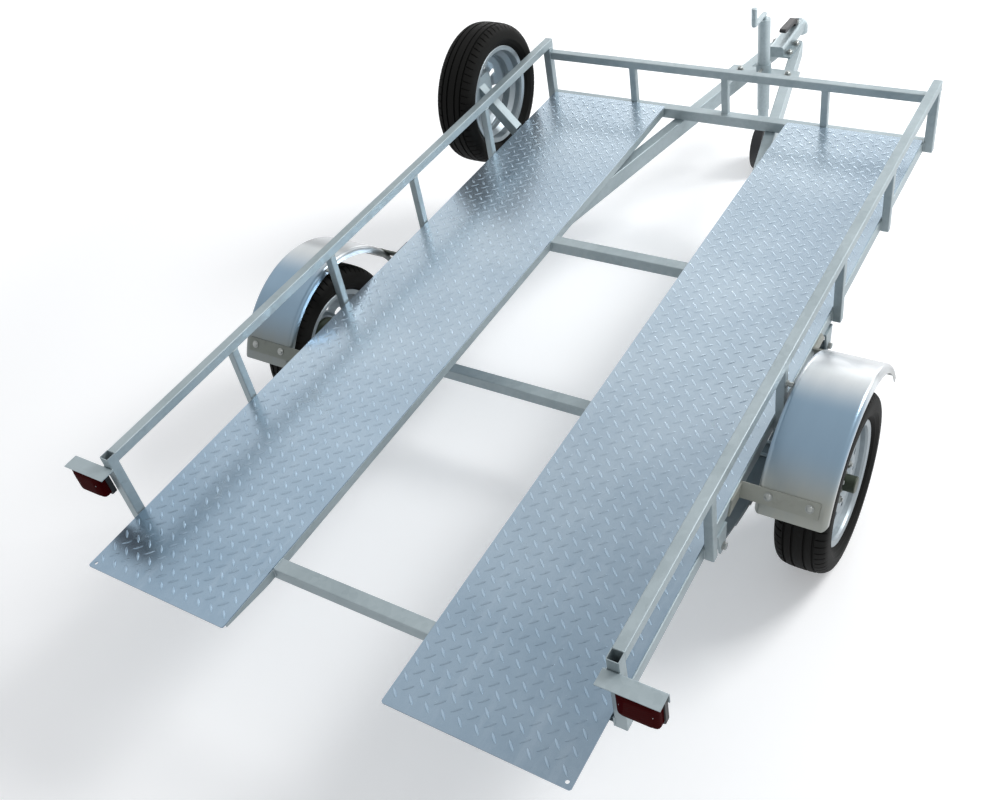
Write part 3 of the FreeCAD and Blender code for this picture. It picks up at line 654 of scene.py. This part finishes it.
def tyre_section(wide, outer, half, flange, groove):
    """Half section of a tyre as offsets, radii and a mark that is 1 on the
    crown. Wide and outer are its half width w and its radius R, half and
    flange those of its rim. From the crown outwards the radius follows
    (u / w) ** 3.4 + ((r - m) / (R - m)) ** 3.4 = 1 with the width w at the
    height m, then the side narrows to the rim's flange as a cosine and tucks
    in behind it. The crown drops by the groove line, and two fine ribs run
    round the side as bell curves of the radius."""
    power = 3.4
    seat = flange - 0.0157
    middle = outer - 0.048
    line = groove_profile(groove)
    u_top = np.concatenate([line[:, 0], np.linspace(0.0450, 0.0570, 5)])
    u_side = wide * np.sin(np.radians([58, 66, 74, 81, 86.5, 90])) ** 0.7
    u_half = np.concatenate([u_top, u_side])
    drop = np.zeros(len(u_half))
    drop[:len(line)] = line[:, 1]
    ratio = np.clip(1 - (u_half / wide) ** power, 0, 1)
    r_half = middle + (outer - middle) * ratio ** (1 / power) - drop
    fall = np.linspace(0.08, 1.0, 14)
    edge_u, edge_r = half - 0.001, flange + 0.0035
    r_low = middle + (edge_r - middle) * fall
    u_low = edge_u + (wide - edge_u) * np.cos(fall * math.pi / 2) ** 0.85
    ribs = 0.0009 * np.exp(-((r_low - (middle - 0.006)) / 0.0012) ** 2)
    ribs += 0.0012 * np.exp(-((r_low - (flange + 0.011)) / 0.0018) ** 2)
    u_low = np.minimum(u_low + ribs, wide)
    bead = half - np.array([0.0078, 0.0088, 0.0117, 0.020, 0.017])
    u_in = np.concatenate([bead, [wide - 0.012, wide - 0.014, 0.040, 0.0]])
    r_in = [flange - 0.003, seat + 0.003, seat, seat, seat + 0.014, middle - 0.010,
            middle + 0.012, outer - 0.014, outer - 0.012]
    return (np.concatenate([u_half, u_low, u_in]), np.concatenate([r_half, r_low, r_in]),
            np.concatenate([np.ones(len(u_half)), np.zeros(len(u_low) + len(u_in))]))


def tyre_shell(low, high, rim_low, rim_high, sizes):
    """Tyre about the X direction, with blocks cut across its crown: a step
    that repeats round the tyre is 1 inside a cut, and lies half a block
    further on the ribs than on the shoulders. The cuts slant along the crown."""
    shoulder_cut, rib_cut, slope = 0.0045, 0.0035, 0.9
    section = tyre_section((high[0] - low[0]) / 2, (high[2] - low[2]) / 2,
                           (rim_high[0] - rim_low[0]) / 2, (rim_high[2] - rim_low[2]) / 2,
                           sizes.groove)
    u, r, crown = (np.concatenate([line, sign * line[1:-1][::-1]])
                   for line, sign in zip(section, (-1, 1, 1)))
    edges = [0.0, 0.06, 0.12, 0.18]
    part = np.array(edges + [0.5, 0.75])
    turn = ((np.arange(sizes.blocks)[:, None] + part) / sizes.blocks).ravel() * 2 * math.pi
    phase = np.tile(part, sizes.blocks)
    cut, far = (np.interp(p, edges + [1.0], [0, 1, 1, 0, 0]) for p in (phase, (phase + 0.5) % 1.0))
    side = np.abs(u)
    shoulder = crown * np.interp(side, [0.0430, 0.0450, 0.0640, 0.0700], [0, 1, 1, 0])
    rib = crown * np.interp(side, [0.0205, 0.0215, 0.0355, 0.0365], [0, 1, 1, 0])
    slant = turn[None] + (side * slope)[:, None] * np.sign(u)[:, None] * crown[:, None]
    radius = r[:, None] - shoulder_cut * np.outer(shoulder, cut) - rib_cut * np.outer(rib, far)
    rings = np.stack([np.repeat(u[:, None], len(turn), 1), radius * np.cos(slant),
                      radius * np.sin(slant)], -1)
    return ring_shell(rings + (low + high) / 2)


def hex_profile(across, height):
    """Hexagon nut or head, with its corners taken off at the top."""
    r = across / math.sqrt(3)
    return [(0.0, 0.0), (0.0, r), (height * 0.86, r), (height, r * 0.84), (height, 0.0)]


def nut_shell(across, height, stud, reach):
    """Washer, hexagon nut and the end of its bolt, standing on Z = 0."""
    washer = lathe(rod_profile(0.0, WASHER, across * 0.72), 20)
    nut = lathe(hex_profile(across, height), 6)
    end = lathe([(0.0, 0.0), (0.0, stud), (height + reach - 0.001, stud),
                 (height + reach, stud * 0.8), (height + reach, 0.0)], 12)
    for shell in (nut, end):
        shell.points[:, 2] += WASHER
    return joined([washer, nut, end])


def dome_shell(radius, height):
    """Round-headed bolt on a washer: the head is a flattened sphere whose
    height is the root of (1 - radius squared)."""
    turn = np.linspace(0, math.pi / 2, 7)[:-1]
    head = [(WASHER + height * math.sin(k), radius * math.cos(k)) for k in turn]
    head = [(0.0, 0.0)] + head + [(WASHER + height, 0.0)]
    return joined([lathe(head, 18), lathe(rod_profile(0.0, WASHER, radius * 1.35), 22)])


def bead_shell(path, radius, out, closed=False):
    """Weld bead: circles carried along a path, with open ends drawn to a
    point. At the path's k-th point the radius is multiplied by
    1 + swell sin(k wave), which gives the ripples."""
    swell, wave, sides = 0.16, 2.1, 7
    path = np.asarray(path, float)
    if closed:
        along = np.roll(path, -1, 0) - np.roll(path, 1, 0)
    else:
        along = np.gradient(path, axis=0)
    along /= np.linalg.norm(along, axis=1)[:, None]
    side = np.cross(along, np.asarray(out, float))
    side /= np.linalg.norm(side, axis=1)[:, None]
    lift = np.cross(side, along)
    turn = np.linspace(0, 2 * math.pi, sides, endpoint=False)
    size = (radius * (1.0 + swell * np.sin(np.arange(len(path)) * wave)))[:, None, None]
    rings = path[:, None] + size * (np.cos(turn)[None, :, None] * side[:, None]
                                    + np.sin(turn)[None, :, None] * lift[:, None])
    if closed:
        return ring_shell(rings)
    return ring_shell(rings, [path[0] - along[0] * radius, path[-1] + along[-1] * radius])


def seam(start, end, radius, out):
    """Weld bead along a straight line."""
    step = 0.0025
    start, end = np.asarray(start, float), np.asarray(end, float)
    count = max(3, int(np.linalg.norm(end - start) / step))
    path = start + (end - start) * np.linspace(0, 1, count)[:, None]
    return bead_shell(path, radius, out)


def collar(low, high, z):
    """Weld bead round a post at one height. Its path is a superellipse with
    soft corners: at the turn t it lies |cos t| ** power times the post's half
    width to one side, and |sin t| ** power times the other half width along."""
    power = 0.35
    t = np.linspace(0, 2 * math.pi, 44, endpoint=False)
    x, y = ((low[k] + high[k]) / 2 + np.sign(wave) * np.abs(wave) ** power * (high[k] - low[k]) / 2
            for k, wave in enumerate((np.cos(t), np.sin(t))))
    return bead_shell(np.stack([x, y, np.full(len(t), z)], 1), POST_BEAD, (0, 0, 1), True)


def wheel_centre(side):
    """Centre of a road wheel."""
    low, high = corners("tyre_" + side)
    return (low + high) / 2


def post_rows(side):
    """Lowest and highest corner of a side's posts, their width and where each
    lies along the trailer."""
    low, high = corners("side_posts_" + side)
    width = high[0] - low[0]
    return low, high, width, np.linspace(low[1] + width / 2, high[1] - width / 2, 4)


def wheel_nuts(rim, outward):
    """Nuts on a wheel's disc, on the side that faces outwards."""
    low, high = corners(rim)
    centre = (low + high) / 2
    turn = 2 * math.pi * (np.arange(STUDS) + 0.5) / STUDS
    spots = np.stack([np.full(STUDS, centre[0] + outward * DISC_FACE),
                      centre[1] + STUD_CIRCLE * np.cos(turn),
                      centre[2] + STUD_CIRCLE * np.sin(turn)], 1)
    return nut_shell(*NUTS["wheel"]).copies(turn_to((outward, 0, 0)), spots)


def guard_bolts(side):
    """Round-headed bolts through the two bars of a mudguard, and the stay
    between the mudguard and the second post."""
    inner, outer, head_lift, stay_drop = 0.800, 0.905, 0.0046, 0.012
    sign = SIDES[side]
    centre = wheel_centre(side)
    low, high = corners("mudguard_" + side)
    radius = high[2] - centre[2]
    bars_low, bars_high = corners("guard_bars_" + side)
    lift = math.asin(((bars_low[2] + bars_high[2]) / 2 - centre[2]) / radius)
    turns, spots = [], []
    for way in (-1, 1):
        out = np.array([0.0, way * math.cos(lift), math.sin(lift)])
        for x in (sign * inner, sign * outer):
            spots.append(centre * [0, 1, 1] + [x, 0, 0] + out * (radius + head_lift))
            turns.append(turn_to(out, (1, 0, 0)))
    heads = dome_shell(0.0085, 0.0048).copies(turns, spots)
    posts_low, posts_high, _, rows = post_rows(side)
    post = posts_high[0] if sign > 0 else posts_low[0]
    guard = low[0] if sign > 0 else high[0]
    length = abs(guard - post)
    stay = lathe([(0.0, 0.0), (0.0, 0.010), (0.004, 0.010), (0.004, 0.0065),
                  (length, 0.0065), (length, 0.0)], 16)
    spot = (post, rows[1], high[2] - stay_drop)
    return joined([heads, stay.copies(turn_to((sign, 0, 0)), [spot])])


def clamp_nuts(side):
    """Nuts under the saddle plate of a spring clamp, on its U-bolts."""
    tail, spring_width, bolt_radius, margin = 0.012, 0.040, 0.005, 0.009
    low, high = corners("spring_clamp_" + side)
    inset = (high[0] - low[0] - spring_width) / 2 - bolt_radius
    spots = [(x, y, low[2] + tail) for x in (low[0] + inset, high[0] - inset)
             for y in (low[1] + margin, high[1] - margin)]
    return nut_shell(*NUTS["clamp"]).copies(turn_to((0, 0, -1)), spots)


def hanger_nuts(side):
    """Hexagon heads on both ends of the spring eye bolts."""
    bolt_end, bolt_height, eye_radius = 0.010, 0.016, 0.013
    low, high = corners("spring_hangers_" + side)
    spring_low, spring_high = corners("leaf_spring_" + side)
    eyes = (spring_low[1] + eye_radius, spring_high[1] - eye_radius)
    shells = []
    for x, way in ((low[0] + bolt_end, -1), (high[0] - bolt_end, 1)):
        spots = [(x, y, low[2] + bolt_height) for y in eyes]
        shells.append(nut_shell(*NUTS["hanger"]).copies(turn_to((way, 0, 0)), spots))
    return joined(shells)


def lens_shell(low, high):
    """Moulded lens: a rounded box whose outline is a superellipse of power 12
    and whose edge rounds over to a flat front by
    shrink = (1 - rise ** 5) ** (1 / 5). Its back is flat."""
    centre = (low + high) / 2
    half = (high - low) / 2
    turn = np.linspace(0, 2 * math.pi, 96, endpoint=False)
    rise = np.linspace(0.0, 1.0, 14)
    shrink = np.concatenate([(1 - rise[:-1] ** 5) ** (1 / 5), [0.75, 0.5, 0.25]])
    depth = np.concatenate([rise[:-1], np.ones(3)])
    x, z = (np.outer(shrink, np.sign(wave) * np.abs(wave) ** (1 / 6)) * size
            for wave, size in ((np.cos(turn), half[0]), (np.sin(turn), half[2])))
    y = np.repeat((half[1] - 2 * half[1] * depth)[:, None], len(turn), 1)
    shell = ring_shell(np.stack([x, y, z], -1), [[0, half[1], 0], [0, -half[1], 0]])
    shell.points += centre
    return shell


def post_welds(side):
    """Beads at the feet and heads of one side's posts."""
    sign = SIDES[side]
    beam_low, beam_high = corners("outer_beam_" + side)
    rail_low, _ = corners("side_rail_" + side)
    face = beam_high[0] if sign > 0 else beam_low[0]
    foot, head = beam_low[2] + BEAM_CORNER, beam_high[2] - BEAM_CORNER

    def foot_seams(edges, radius):
        """Upright beads between the beam and the edges of a post."""
        return [seam((face, y, foot), (face, y, head), radius, (sign, 0, 0)) for y in edges]

    beads = []
    low, high, width, rows = post_rows(side)
    for y in rows:
        edges = (y - width / 2, y + width / 2)
        beads.append(collar((low[0], edges[0]), (high[0], edges[1]), rail_low[2]))
        beads += foot_seams(edges, POST_BEAD)
    for node in ("rear_post_", "corner_post_"):
        low, high = corners(node + side)
        beads += foot_seams((low[1], high[1]), CORNER_BEAD)
    low, high = corners("rear_post_" + side)
    for x in (low[0] + 0.002, high[0] - 0.002):
        beads.append(seam((x, high[1], rail_low[2] + BEAD_INSET),
                          (x, high[1], high[2] - BEAD_INSET), RAIL_BEAD, (0, 1, 0)))
    top = high[2] - 0.0005
    beads.append(seam((low[0] + BEAD_INSET, high[1], top), (high[0] - BEAD_INSET, high[1], top),
                      THIN_BEAD, (0, 0, 1)))
    low, high = corners("corner_post_" + side)
    return joined(beads + [collar(low, high, high[2])])


def frame_welds():
    """Beads where the crossbars and the front rail meet their neighbours."""
    beads = []
    inner, _ = corners("inner_beam_right")
    for node in ("rear_crossbar", "mid_crossbar"):
        low, high = corners(node)
        top = high[2] - 0.0006
        for x in (-inner[0], inner[0]):
            for y, way in ((low[1], -1), (high[1], 1)):
                beads.append(seam((x, y, low[2] + 0.012), (x, y, high[2] - BEAD_INSET),
                                  CORNER_BEAD, (0, way, 0)))
            beads.append(seam((x, low[1] + BEAD_INSET, top), (x, high[1] - BEAD_INSET, top),
                              POST_BEAD, (0, 0, 1)))
    rail_low, rail_high = corners("front_rail")
    for x in (rail_low[0], rail_high[0]):
        for y, way in ((rail_low[1], -1), (rail_high[1], 1)):
            beads.append(seam((x, y, rail_low[2] + BEAD_INSET), (x, y, rail_high[2] - BEAD_INSET),
                              RAIL_BEAD, (0, way, 0)))
    low, high = corners("front_posts")
    half = (high[1] - low[1]) / 2
    _, bar_high = corners("front_crossbar")
    for x in (low[0] + half, 0.0, high[0] - half):
        for z in (bar_high[2], rail_low[2]):
            beads.append(collar((x - half, low[1]), (x + half, high[1]), z))
    return joined(beads)


def bracket_welds():
    """Beads between the lamp shelves and the rear posts."""
    beads = []
    for side in SIDES:
        shelf_low, shelf_high = corners("lamp_shelf_" + side)
        y = shelf_high[1]
        for post in corners("rear_post_" + side):
            beads.append(seam((post[0], y, shelf_low[2] + 0.002),
                              (post[0], y, shelf_high[2] - 0.002), THIN_BEAD, (0, -1, 0)))
    return joined(beads)


def coupling_bolts():
    """Four bolts through the coupling's flange and the lever's pivot pin."""
    across, rows, flange = 0.044, (0.035, 0.115), 0.006
    pivot_half, pivot_back, pivot_height = 0.013, 0.016, 0.009
    low, _ = corners("coupling_head")
    flange_top = corners("drawbar_arm_right")[1][2] + flange
    spots = [(x, low[1] + y, flange_top) for x in (-across, across) for y in rows]
    shells = [nut_shell(*NUTS["plate"]).copies(np.eye(3), spots)]
    handle_low, handle_high = corners("coupling_handle")
    for way in (-1, 1):
        spot = (way * pivot_half, handle_high[1] - pivot_back, handle_low[2] + pivot_height)
        shells.append(dome_shell(0.006, 0.003).copies(turn_to((way, 0, 0)), [spot]))
    return joined(shells)


def support_bolts():
    """Bolts of the support wheel's cross plate and the clamp's handle: a
    screw with a bar across its end."""
    across, plate, lift, screw_back, bar_back, bar_half = 0.098, 0.006, 0.028, 0.028, 0.064, 0.045
    low, high = corners("support_bracket")
    arm_top = corners("drawbar_arm_right")[1][2]
    handle_z = arm_top + lift
    mid = (low[1] + high[1]) / 2
    spots = [(x, mid, arm_top + plate) for x in (-across, across)]
    screw = lathe([(0.0, 0.0), (0.0, 0.006), (0.040, 0.006), (0.042, 0.0)], 14)
    bar = lathe(rod_profile(-bar_half, bar_half, 0.004), 12)
    return joined([nut_shell(*NUTS["plate"]).copies(np.eye(3), spots),
                   screw.copies(turn_to((0, -1, 0)), [(0.0, mid - screw_back, handle_z)]),
                   bar.copies(turn_to((1, 0, 0)), [(0.0, mid - bar_back, handle_z)])])


def lamp_screws(side):
    """Two screws in each lens, sunk into its front."""
    lift, sink, inset = 0.006, 0.0012, 0.014
    low, high = corners("lamp_lens_" + side)
    z = (low[2] + high[2]) / 2 + lift
    spots = [(x, low[1] + sink, z) for x in (low[0] + inset, high[0] - inset)]
    screw = lathe([(0.0, 0.0), (0.0, 0.0034), (0.0011, 0.0030), (0.0011, 0.0012),
                   (0.0004, 0.0010), (0.0004, 0.0)], 16)
    return screw.copies(turn_to((0, -1, 0)), spots)


# Operators

class TRAILER_OT_coat_frame(Operator):
    """Give the tubes, rails, posts, axle and drawbar their zinc."""
    bl_idname = "trailer.coat_frame"
    bl_label = "Coat frame"

    def execute(self, context):
        names = ["rear_crossbar", "mid_crossbar", "front_crossbar", "front_rail", "front_posts",
                 "axle_beam", "spare_arm", "support_bracket"]
        for name in ("outer_beam", "inner_beam", "side_rail", "rear_post", "corner_post",
                     "side_posts", "lamp_shelf", "spring_hangers", "spring_clamp",
                     "drawbar_arm"):
            names += both(name)
        coat(names, tube_finish())
        # Painted shade: the guard bars are painted darker and warmer than the tubes, the left ones
        # darkest
        for side, light, dark in (("left", (0.19, 0.21, 0.19), (0.12, 0.13, 0.12)),
                                  ("right", (0.34, 0.355, 0.32), (0.23, 0.24, 0.215))):
            bars = finish("Weathered bar zinc " + side, zinc, light, dark, 60.0, 0.45, 0.5)
            coat(["guard_bars_" + side], bars)
        c = colours()
        spring = finish("Dull spring zinc", zinc, scaled(c.zinc_light, 0.6),
                        scaled(c.zinc_dark, 0.6), 40.0, 0.5, 0.5)
        coat(both("leaf_spring"), spring)
        return {"FINISHED"}


class TRAILER_OT_lay_plates(Operator):
    """Finish the track plates and raise their pattern of bumps."""
    bl_idname = "trailer.lay_plates"
    bl_label = "Lay track plates"

    def execute(self, context):
        sizes = context.scene.trailer_tread
        scuff_and_highlight = colours().bump
        for side in SIDES:
            coat(["track_plate_" + side], plate_finish(side))
            leaning_left, leaning_right = plate_bumps(side, sizes)
            # Painted highlight on the left-leaning bumps, fading towards the front; painted shade
            # on the right-leaning bumps
            add_piece("left_leaning_bumps_" + side, leaning_left, CHASSIS,
                      plate_finish(side, "Scuffed bump zinc", scuff_and_highlight, 0.83, 0.28))
            add_piece("right_leaning_bumps_" + side, leaning_right, CHASSIS,
                      plate_finish(side, "Dull bump zinc", 0.95))
        return {"FINISHED"}


class TRAILER_OT_form_mudguards(Operator):
    """Finish the mudguards and bolt them to their bars."""
    bl_idname = "trailer.form_mudguards"
    bl_label = "Form mudguards"

    def execute(self, context):
        # Painted shade: the left mudguard's low ends are painted darker than the right one's
        dirt_and_shade = {"left": (0.155, 0.17, 0.16), "right": (0.29, 0.30, 0.27)}
        for side in SIDES:
            sheet = finish("Smooth guard zinc " + side, guard_zinc, tuple(colours().guard),
                           dirt_and_shade[side], float(wheel_centre(side)[1]))
            coat(["mudguard_" + side], sheet)
            add_piece("guard_bolts_" + side, guard_bolts(side), CHASSIS, bolt_finish())
        return {"FINISHED"}


class TRAILER_OT_shape_tyres(Operator):
    """Replace the plain tyres with grooved ones."""
    bl_idname = "trailer.shape_tyres"
    bl_label = "Shape tyres"

    def execute(self, context):
        black = finish("Tyre rubber", rubber, tuple(colours().rubber))
        sizes = context.scene.trailer_tread
        for name, rim, body, _ in WHEELS:
            shell = tyre_shell(*corners(name), *corners(rim), sizes)
            piece = add_piece(name + "_tread", shell, body, black, 30.0)
            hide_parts(name)
        return {"FINISHED"}


class TRAILER_OT_fit_wheels(Operator):
    """Finish the pressed wheels and hubs and fit their nuts."""
    bl_idname = "trailer.fit_wheels"
    bl_label = "Fit wheels"

    def execute(self, context):
        c = colours()
        steel = finish("Wheel zinc", zinc, tuple(c.wheel), scaled(c.wheel, 0.78),
                       120.0, 0.30, 0.6)
        coat(both("rim") + both("wheel_disc") + ["spare_rim", "spare_disc"], steel)
        coat(both("hub"), finish("Hub iron", dark_iron))
        for _, rim, body, way in WHEELS:
            add_piece(rim + "_nuts", wheel_nuts(rim, way), body, bolt_finish())
        return {"FINISHED"}


class TRAILER_OT_fit_lamps(Operator):
    """Replace the plain lenses with rounded ones and fit their screws."""
    bl_idname = "trailer.fit_lamps"
    bl_label = "Fit tail lamps"

    def execute(self, context):
        red = finish("Lamp red", lens_red, tuple(colours().lens))
        black = finish("Lamp black", moulded_black)
        coat(both("lamp_base"), black)
        for side in SIDES:
            low, high = corners("lamp_lens_" + side)
            lens = add_piece("lens_" + side, lens_shell(low, high), CHASSIS, red, 50.0)
            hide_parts("lamp_lens_" + side)
            add_piece("lens_screws_" + side, lamp_screws(side), CHASSIS, bolt_finish())
        return {"FINISHED"}


class TRAILER_OT_fit_fasteners(Operator):
    """Fit the nuts of the springs, the coupling and the support wheel."""
    bl_idname = "trailer.fit_fasteners"
    bl_label = "Fit fasteners"

    def execute(self, context):
        for side in SIDES:
            shell = joined([clamp_nuts(side), hanger_nuts(side)])
            add_piece("spring_nuts_" + side, shell, CHASSIS, bolt_finish())
        add_piece("coupling_bolts", coupling_bolts(), CHASSIS, bolt_finish())
        add_piece("support_bolts", support_bolts(), CHASSIS, bolt_finish())
        return {"FINISHED"}


class TRAILER_OT_finish_drawbar(Operator):
    """Finish the coupling, its lever and the support wheel."""
    bl_idname = "trailer.finish_drawbar"
    bl_label = "Finish drawbar"

    def execute(self, context):
        c = colours()
        bright = finish("Coupling zinc", zinc, scaled(c.zinc_light, 1.1), tuple(c.zinc_dark),
                        140.0, 0.30, 0.65)
        coat(["coupling_head", "support_tube", "support_crank"], bright)
        coat(["coupling_handle", "support_wheel"], finish("Grip black", moulded_black))
        return {"FINISHED"}


class TRAILER_OT_run_welds(Operator):
    """Run the weld beads of the frame, the posts and the brackets."""
    bl_idname = "trailer.run_welds"
    bl_label = "Run welds"

    def execute(self, context):
        welds = {"post_welds_" + side: post_welds(side) for side in SIDES}
        welds.update(frame_welds=frame_welds(), bracket_welds=bracket_welds())
        for name, shell in welds.items():
            add_piece(name, shell, CHASSIS, tube_finish(), 60.0)
        return {"FINISHED"}


class TRAILER_OT_set_stage(Operator):
    """Set the floor, the lamps, the sky and the camera."""
    bl_idname = "trailer.set_stage"
    bl_label = "Set stage"

    def execute(self, context):
        scene = context.scene
        studio = scene.trailer_studio
        scene.view_settings.view_transform = "Standard"
        self.add_floor(scene)
        self.set_sky(scene, studio.sky)
        for name, spot, size, power in (
                ("key_lamp", (3.6, 3.4, 4.8), (2.4, 2.4), studio.key),
                ("fill_lamp", (-3.7, 0.6, 5.0), (4.0, 4.0), studio.fill),
                ("strip_lamp", (-0.8, 6.5, 1.4), (2.4, 6.4), studio.strip)):
            self.add_lamp(scene, name, spot, size, power)
        self.add_camera(scene)
        return {"FINISHED"}

    def add_floor(self, scene):
        """Pale floor that is a flat square in the plane of the ground. It
        looks a little paler than its colour, and turns to the background's
        white away from the trailer and its shadow."""
        reach, near, far = 30.0, 2.4, 5.5
        mesh = bpy.data.meshes.new("floor")
        mesh.from_pydata([(-reach, -reach, 0), (reach, -reach, 0), (reach, reach, 0),
                          (-reach, reach, 0)], [], [(0, 1, 2, 3)])
        f = Finish("Pale floor")
        away = f.node("ShaderNodeVectorMath", {"operation": "LENGTH"}, {0: f.place}, 1)
        lift = f.seen_plainly() * (away.band(near, far) * 0.50 + 0.25)
        glow = f.node("ShaderNodeEmission", {}, {1: lift})
        plain = f.principled((0.92, 0.92, 0.92), 0.9)
        mesh.materials.append(f.output(f.node("ShaderNodeAddShader", {}, {0: plain, 1: glow})))
        floor = bpy.data.objects.new("floor", mesh)
        scene.collection.objects.link(floor)

    def set_sky(self, scene, strength):
        """Even sky that lights the trailer, seen as white by the camera and in
        mirrors and glass."""
        world = bpy.data.worlds.new("Studio sky")
        world.use_nodes = True
        scene.world = world
        g = Graph(world.node_tree)
        light, white = (g.node("ShaderNodeBackground", {}, {0: colour, 1: power})
                        for colour, power in (((0.93, 0.96, 1.0, 1.0), strength),
                                              ((1.0, 1.0, 1.0, 1.0), 1.0)))
        sky = g.node("ShaderNodeMixShader", {}, {0: g.seen_plainly(), 1: light, 2: white})
        g.node("ShaderNodeOutputWorld", {}, {0: sky})

    def add_lamp(self, scene, name, spot, size, power):
        """Large lamp that points at the trailer, with its height and width."""
        target = (0.0, 0.0, 0.3)
        lamp = bpy.data.lights.new(name, "AREA")
        lamp.shape = "RECTANGLE"
        lamp.size, lamp.size_y = size
        lamp.energy = power
        lamp_object = bpy.data.objects.new(name, lamp)
        lamp_object.visible_camera = False
        turn = turn_to(np.array(spot) - np.array(target))
        rows = [list(turn[k]) + [spot[k]] for k in range(3)]
        lamp_object.matrix_world = Matrix(rows + [[0, 0, 0, 1]])
        scene.collection.objects.link(lamp_object)

    def add_camera(self, scene):
        """Camera behind and to the right of the trailer, looking down on it."""
        lens = bpy.data.cameras.new("camera")
        lens.lens = 38.973
        camera = bpy.data.objects.new("camera", lens)
        right = (0.85318, 0.49938, -0.15069)
        down = (0.24734, -0.64165, -0.72602)
        ahead = (-0.45926, 0.58215, -0.67096)
        spot = (1.4098, -2.5841, 2.5362)
        rows = [[right[k], -down[k], -ahead[k], spot[k]] for k in range(3)]
        camera.matrix_world = Matrix(rows + [[0, 0, 0, 1]])
        scene.collection.objects.link(camera)
        scene.camera = camera


class TRAILER_PT_tools(Panel):
    """Lists the trailer's operators."""
    bl_idname = "TRAILER_PT_tools"
    bl_label = "Two-Track Trailer"
    bl_space_type = "VIEW_3D"
    bl_region_type = "UI"
    bl_category = "Trailer"

    def draw(self, context):
        for operator in OPERATORS:
            self.layout.operator(operator.bl_idname)
        for settings in ("trailer_tread", "trailer_colours", "trailer_studio"):
            group = getattr(context.scene, settings)
            box = self.layout.box()
            for key in group.__annotations__:
                box.prop(group, key)


SETTINGS = {"trailer_tread": TreadSizes, "trailer_colours": FinishColours,
            "trailer_studio": StudioSettings}
OPERATORS = (
    TRAILER_OT_coat_frame,
    TRAILER_OT_lay_plates,
    TRAILER_OT_form_mudguards,
    TRAILER_OT_shape_tyres,
    TRAILER_OT_fit_wheels,
    TRAILER_OT_fit_lamps,
    TRAILER_OT_fit_fasteners,
    TRAILER_OT_finish_drawbar,
    TRAILER_OT_run_welds,
    TRAILER_OT_set_stage,
)


def register():
    """Register the settings, operators and panel."""
    for name, group in SETTINGS.items():
        bpy.utils.register_class(group)
        setattr(bpy.types.Scene, name, PointerProperty(type=group))
    for operator in OPERATORS:
        bpy.utils.register_class(operator)
    bpy.utils.register_class(TRAILER_PT_tools)


def unregister():
    """Take the settings, operators and panel away."""
    bpy.utils.unregister_class(TRAILER_PT_tools)
    for operator in reversed(OPERATORS):
        bpy.utils.unregister_class(operator)
    for name, group in SETTINGS.items():
        delattr(bpy.types.Scene, name)
        bpy.utils.unregister_class(group)


def main():
    """Build the looks round the frame."""
    register()
    for operator in OPERATORS:
        group, call = operator.bl_idname.split(".")
        getattr(getattr(bpy.ops, group), call)()


if __name__ == "__main__":
    main()
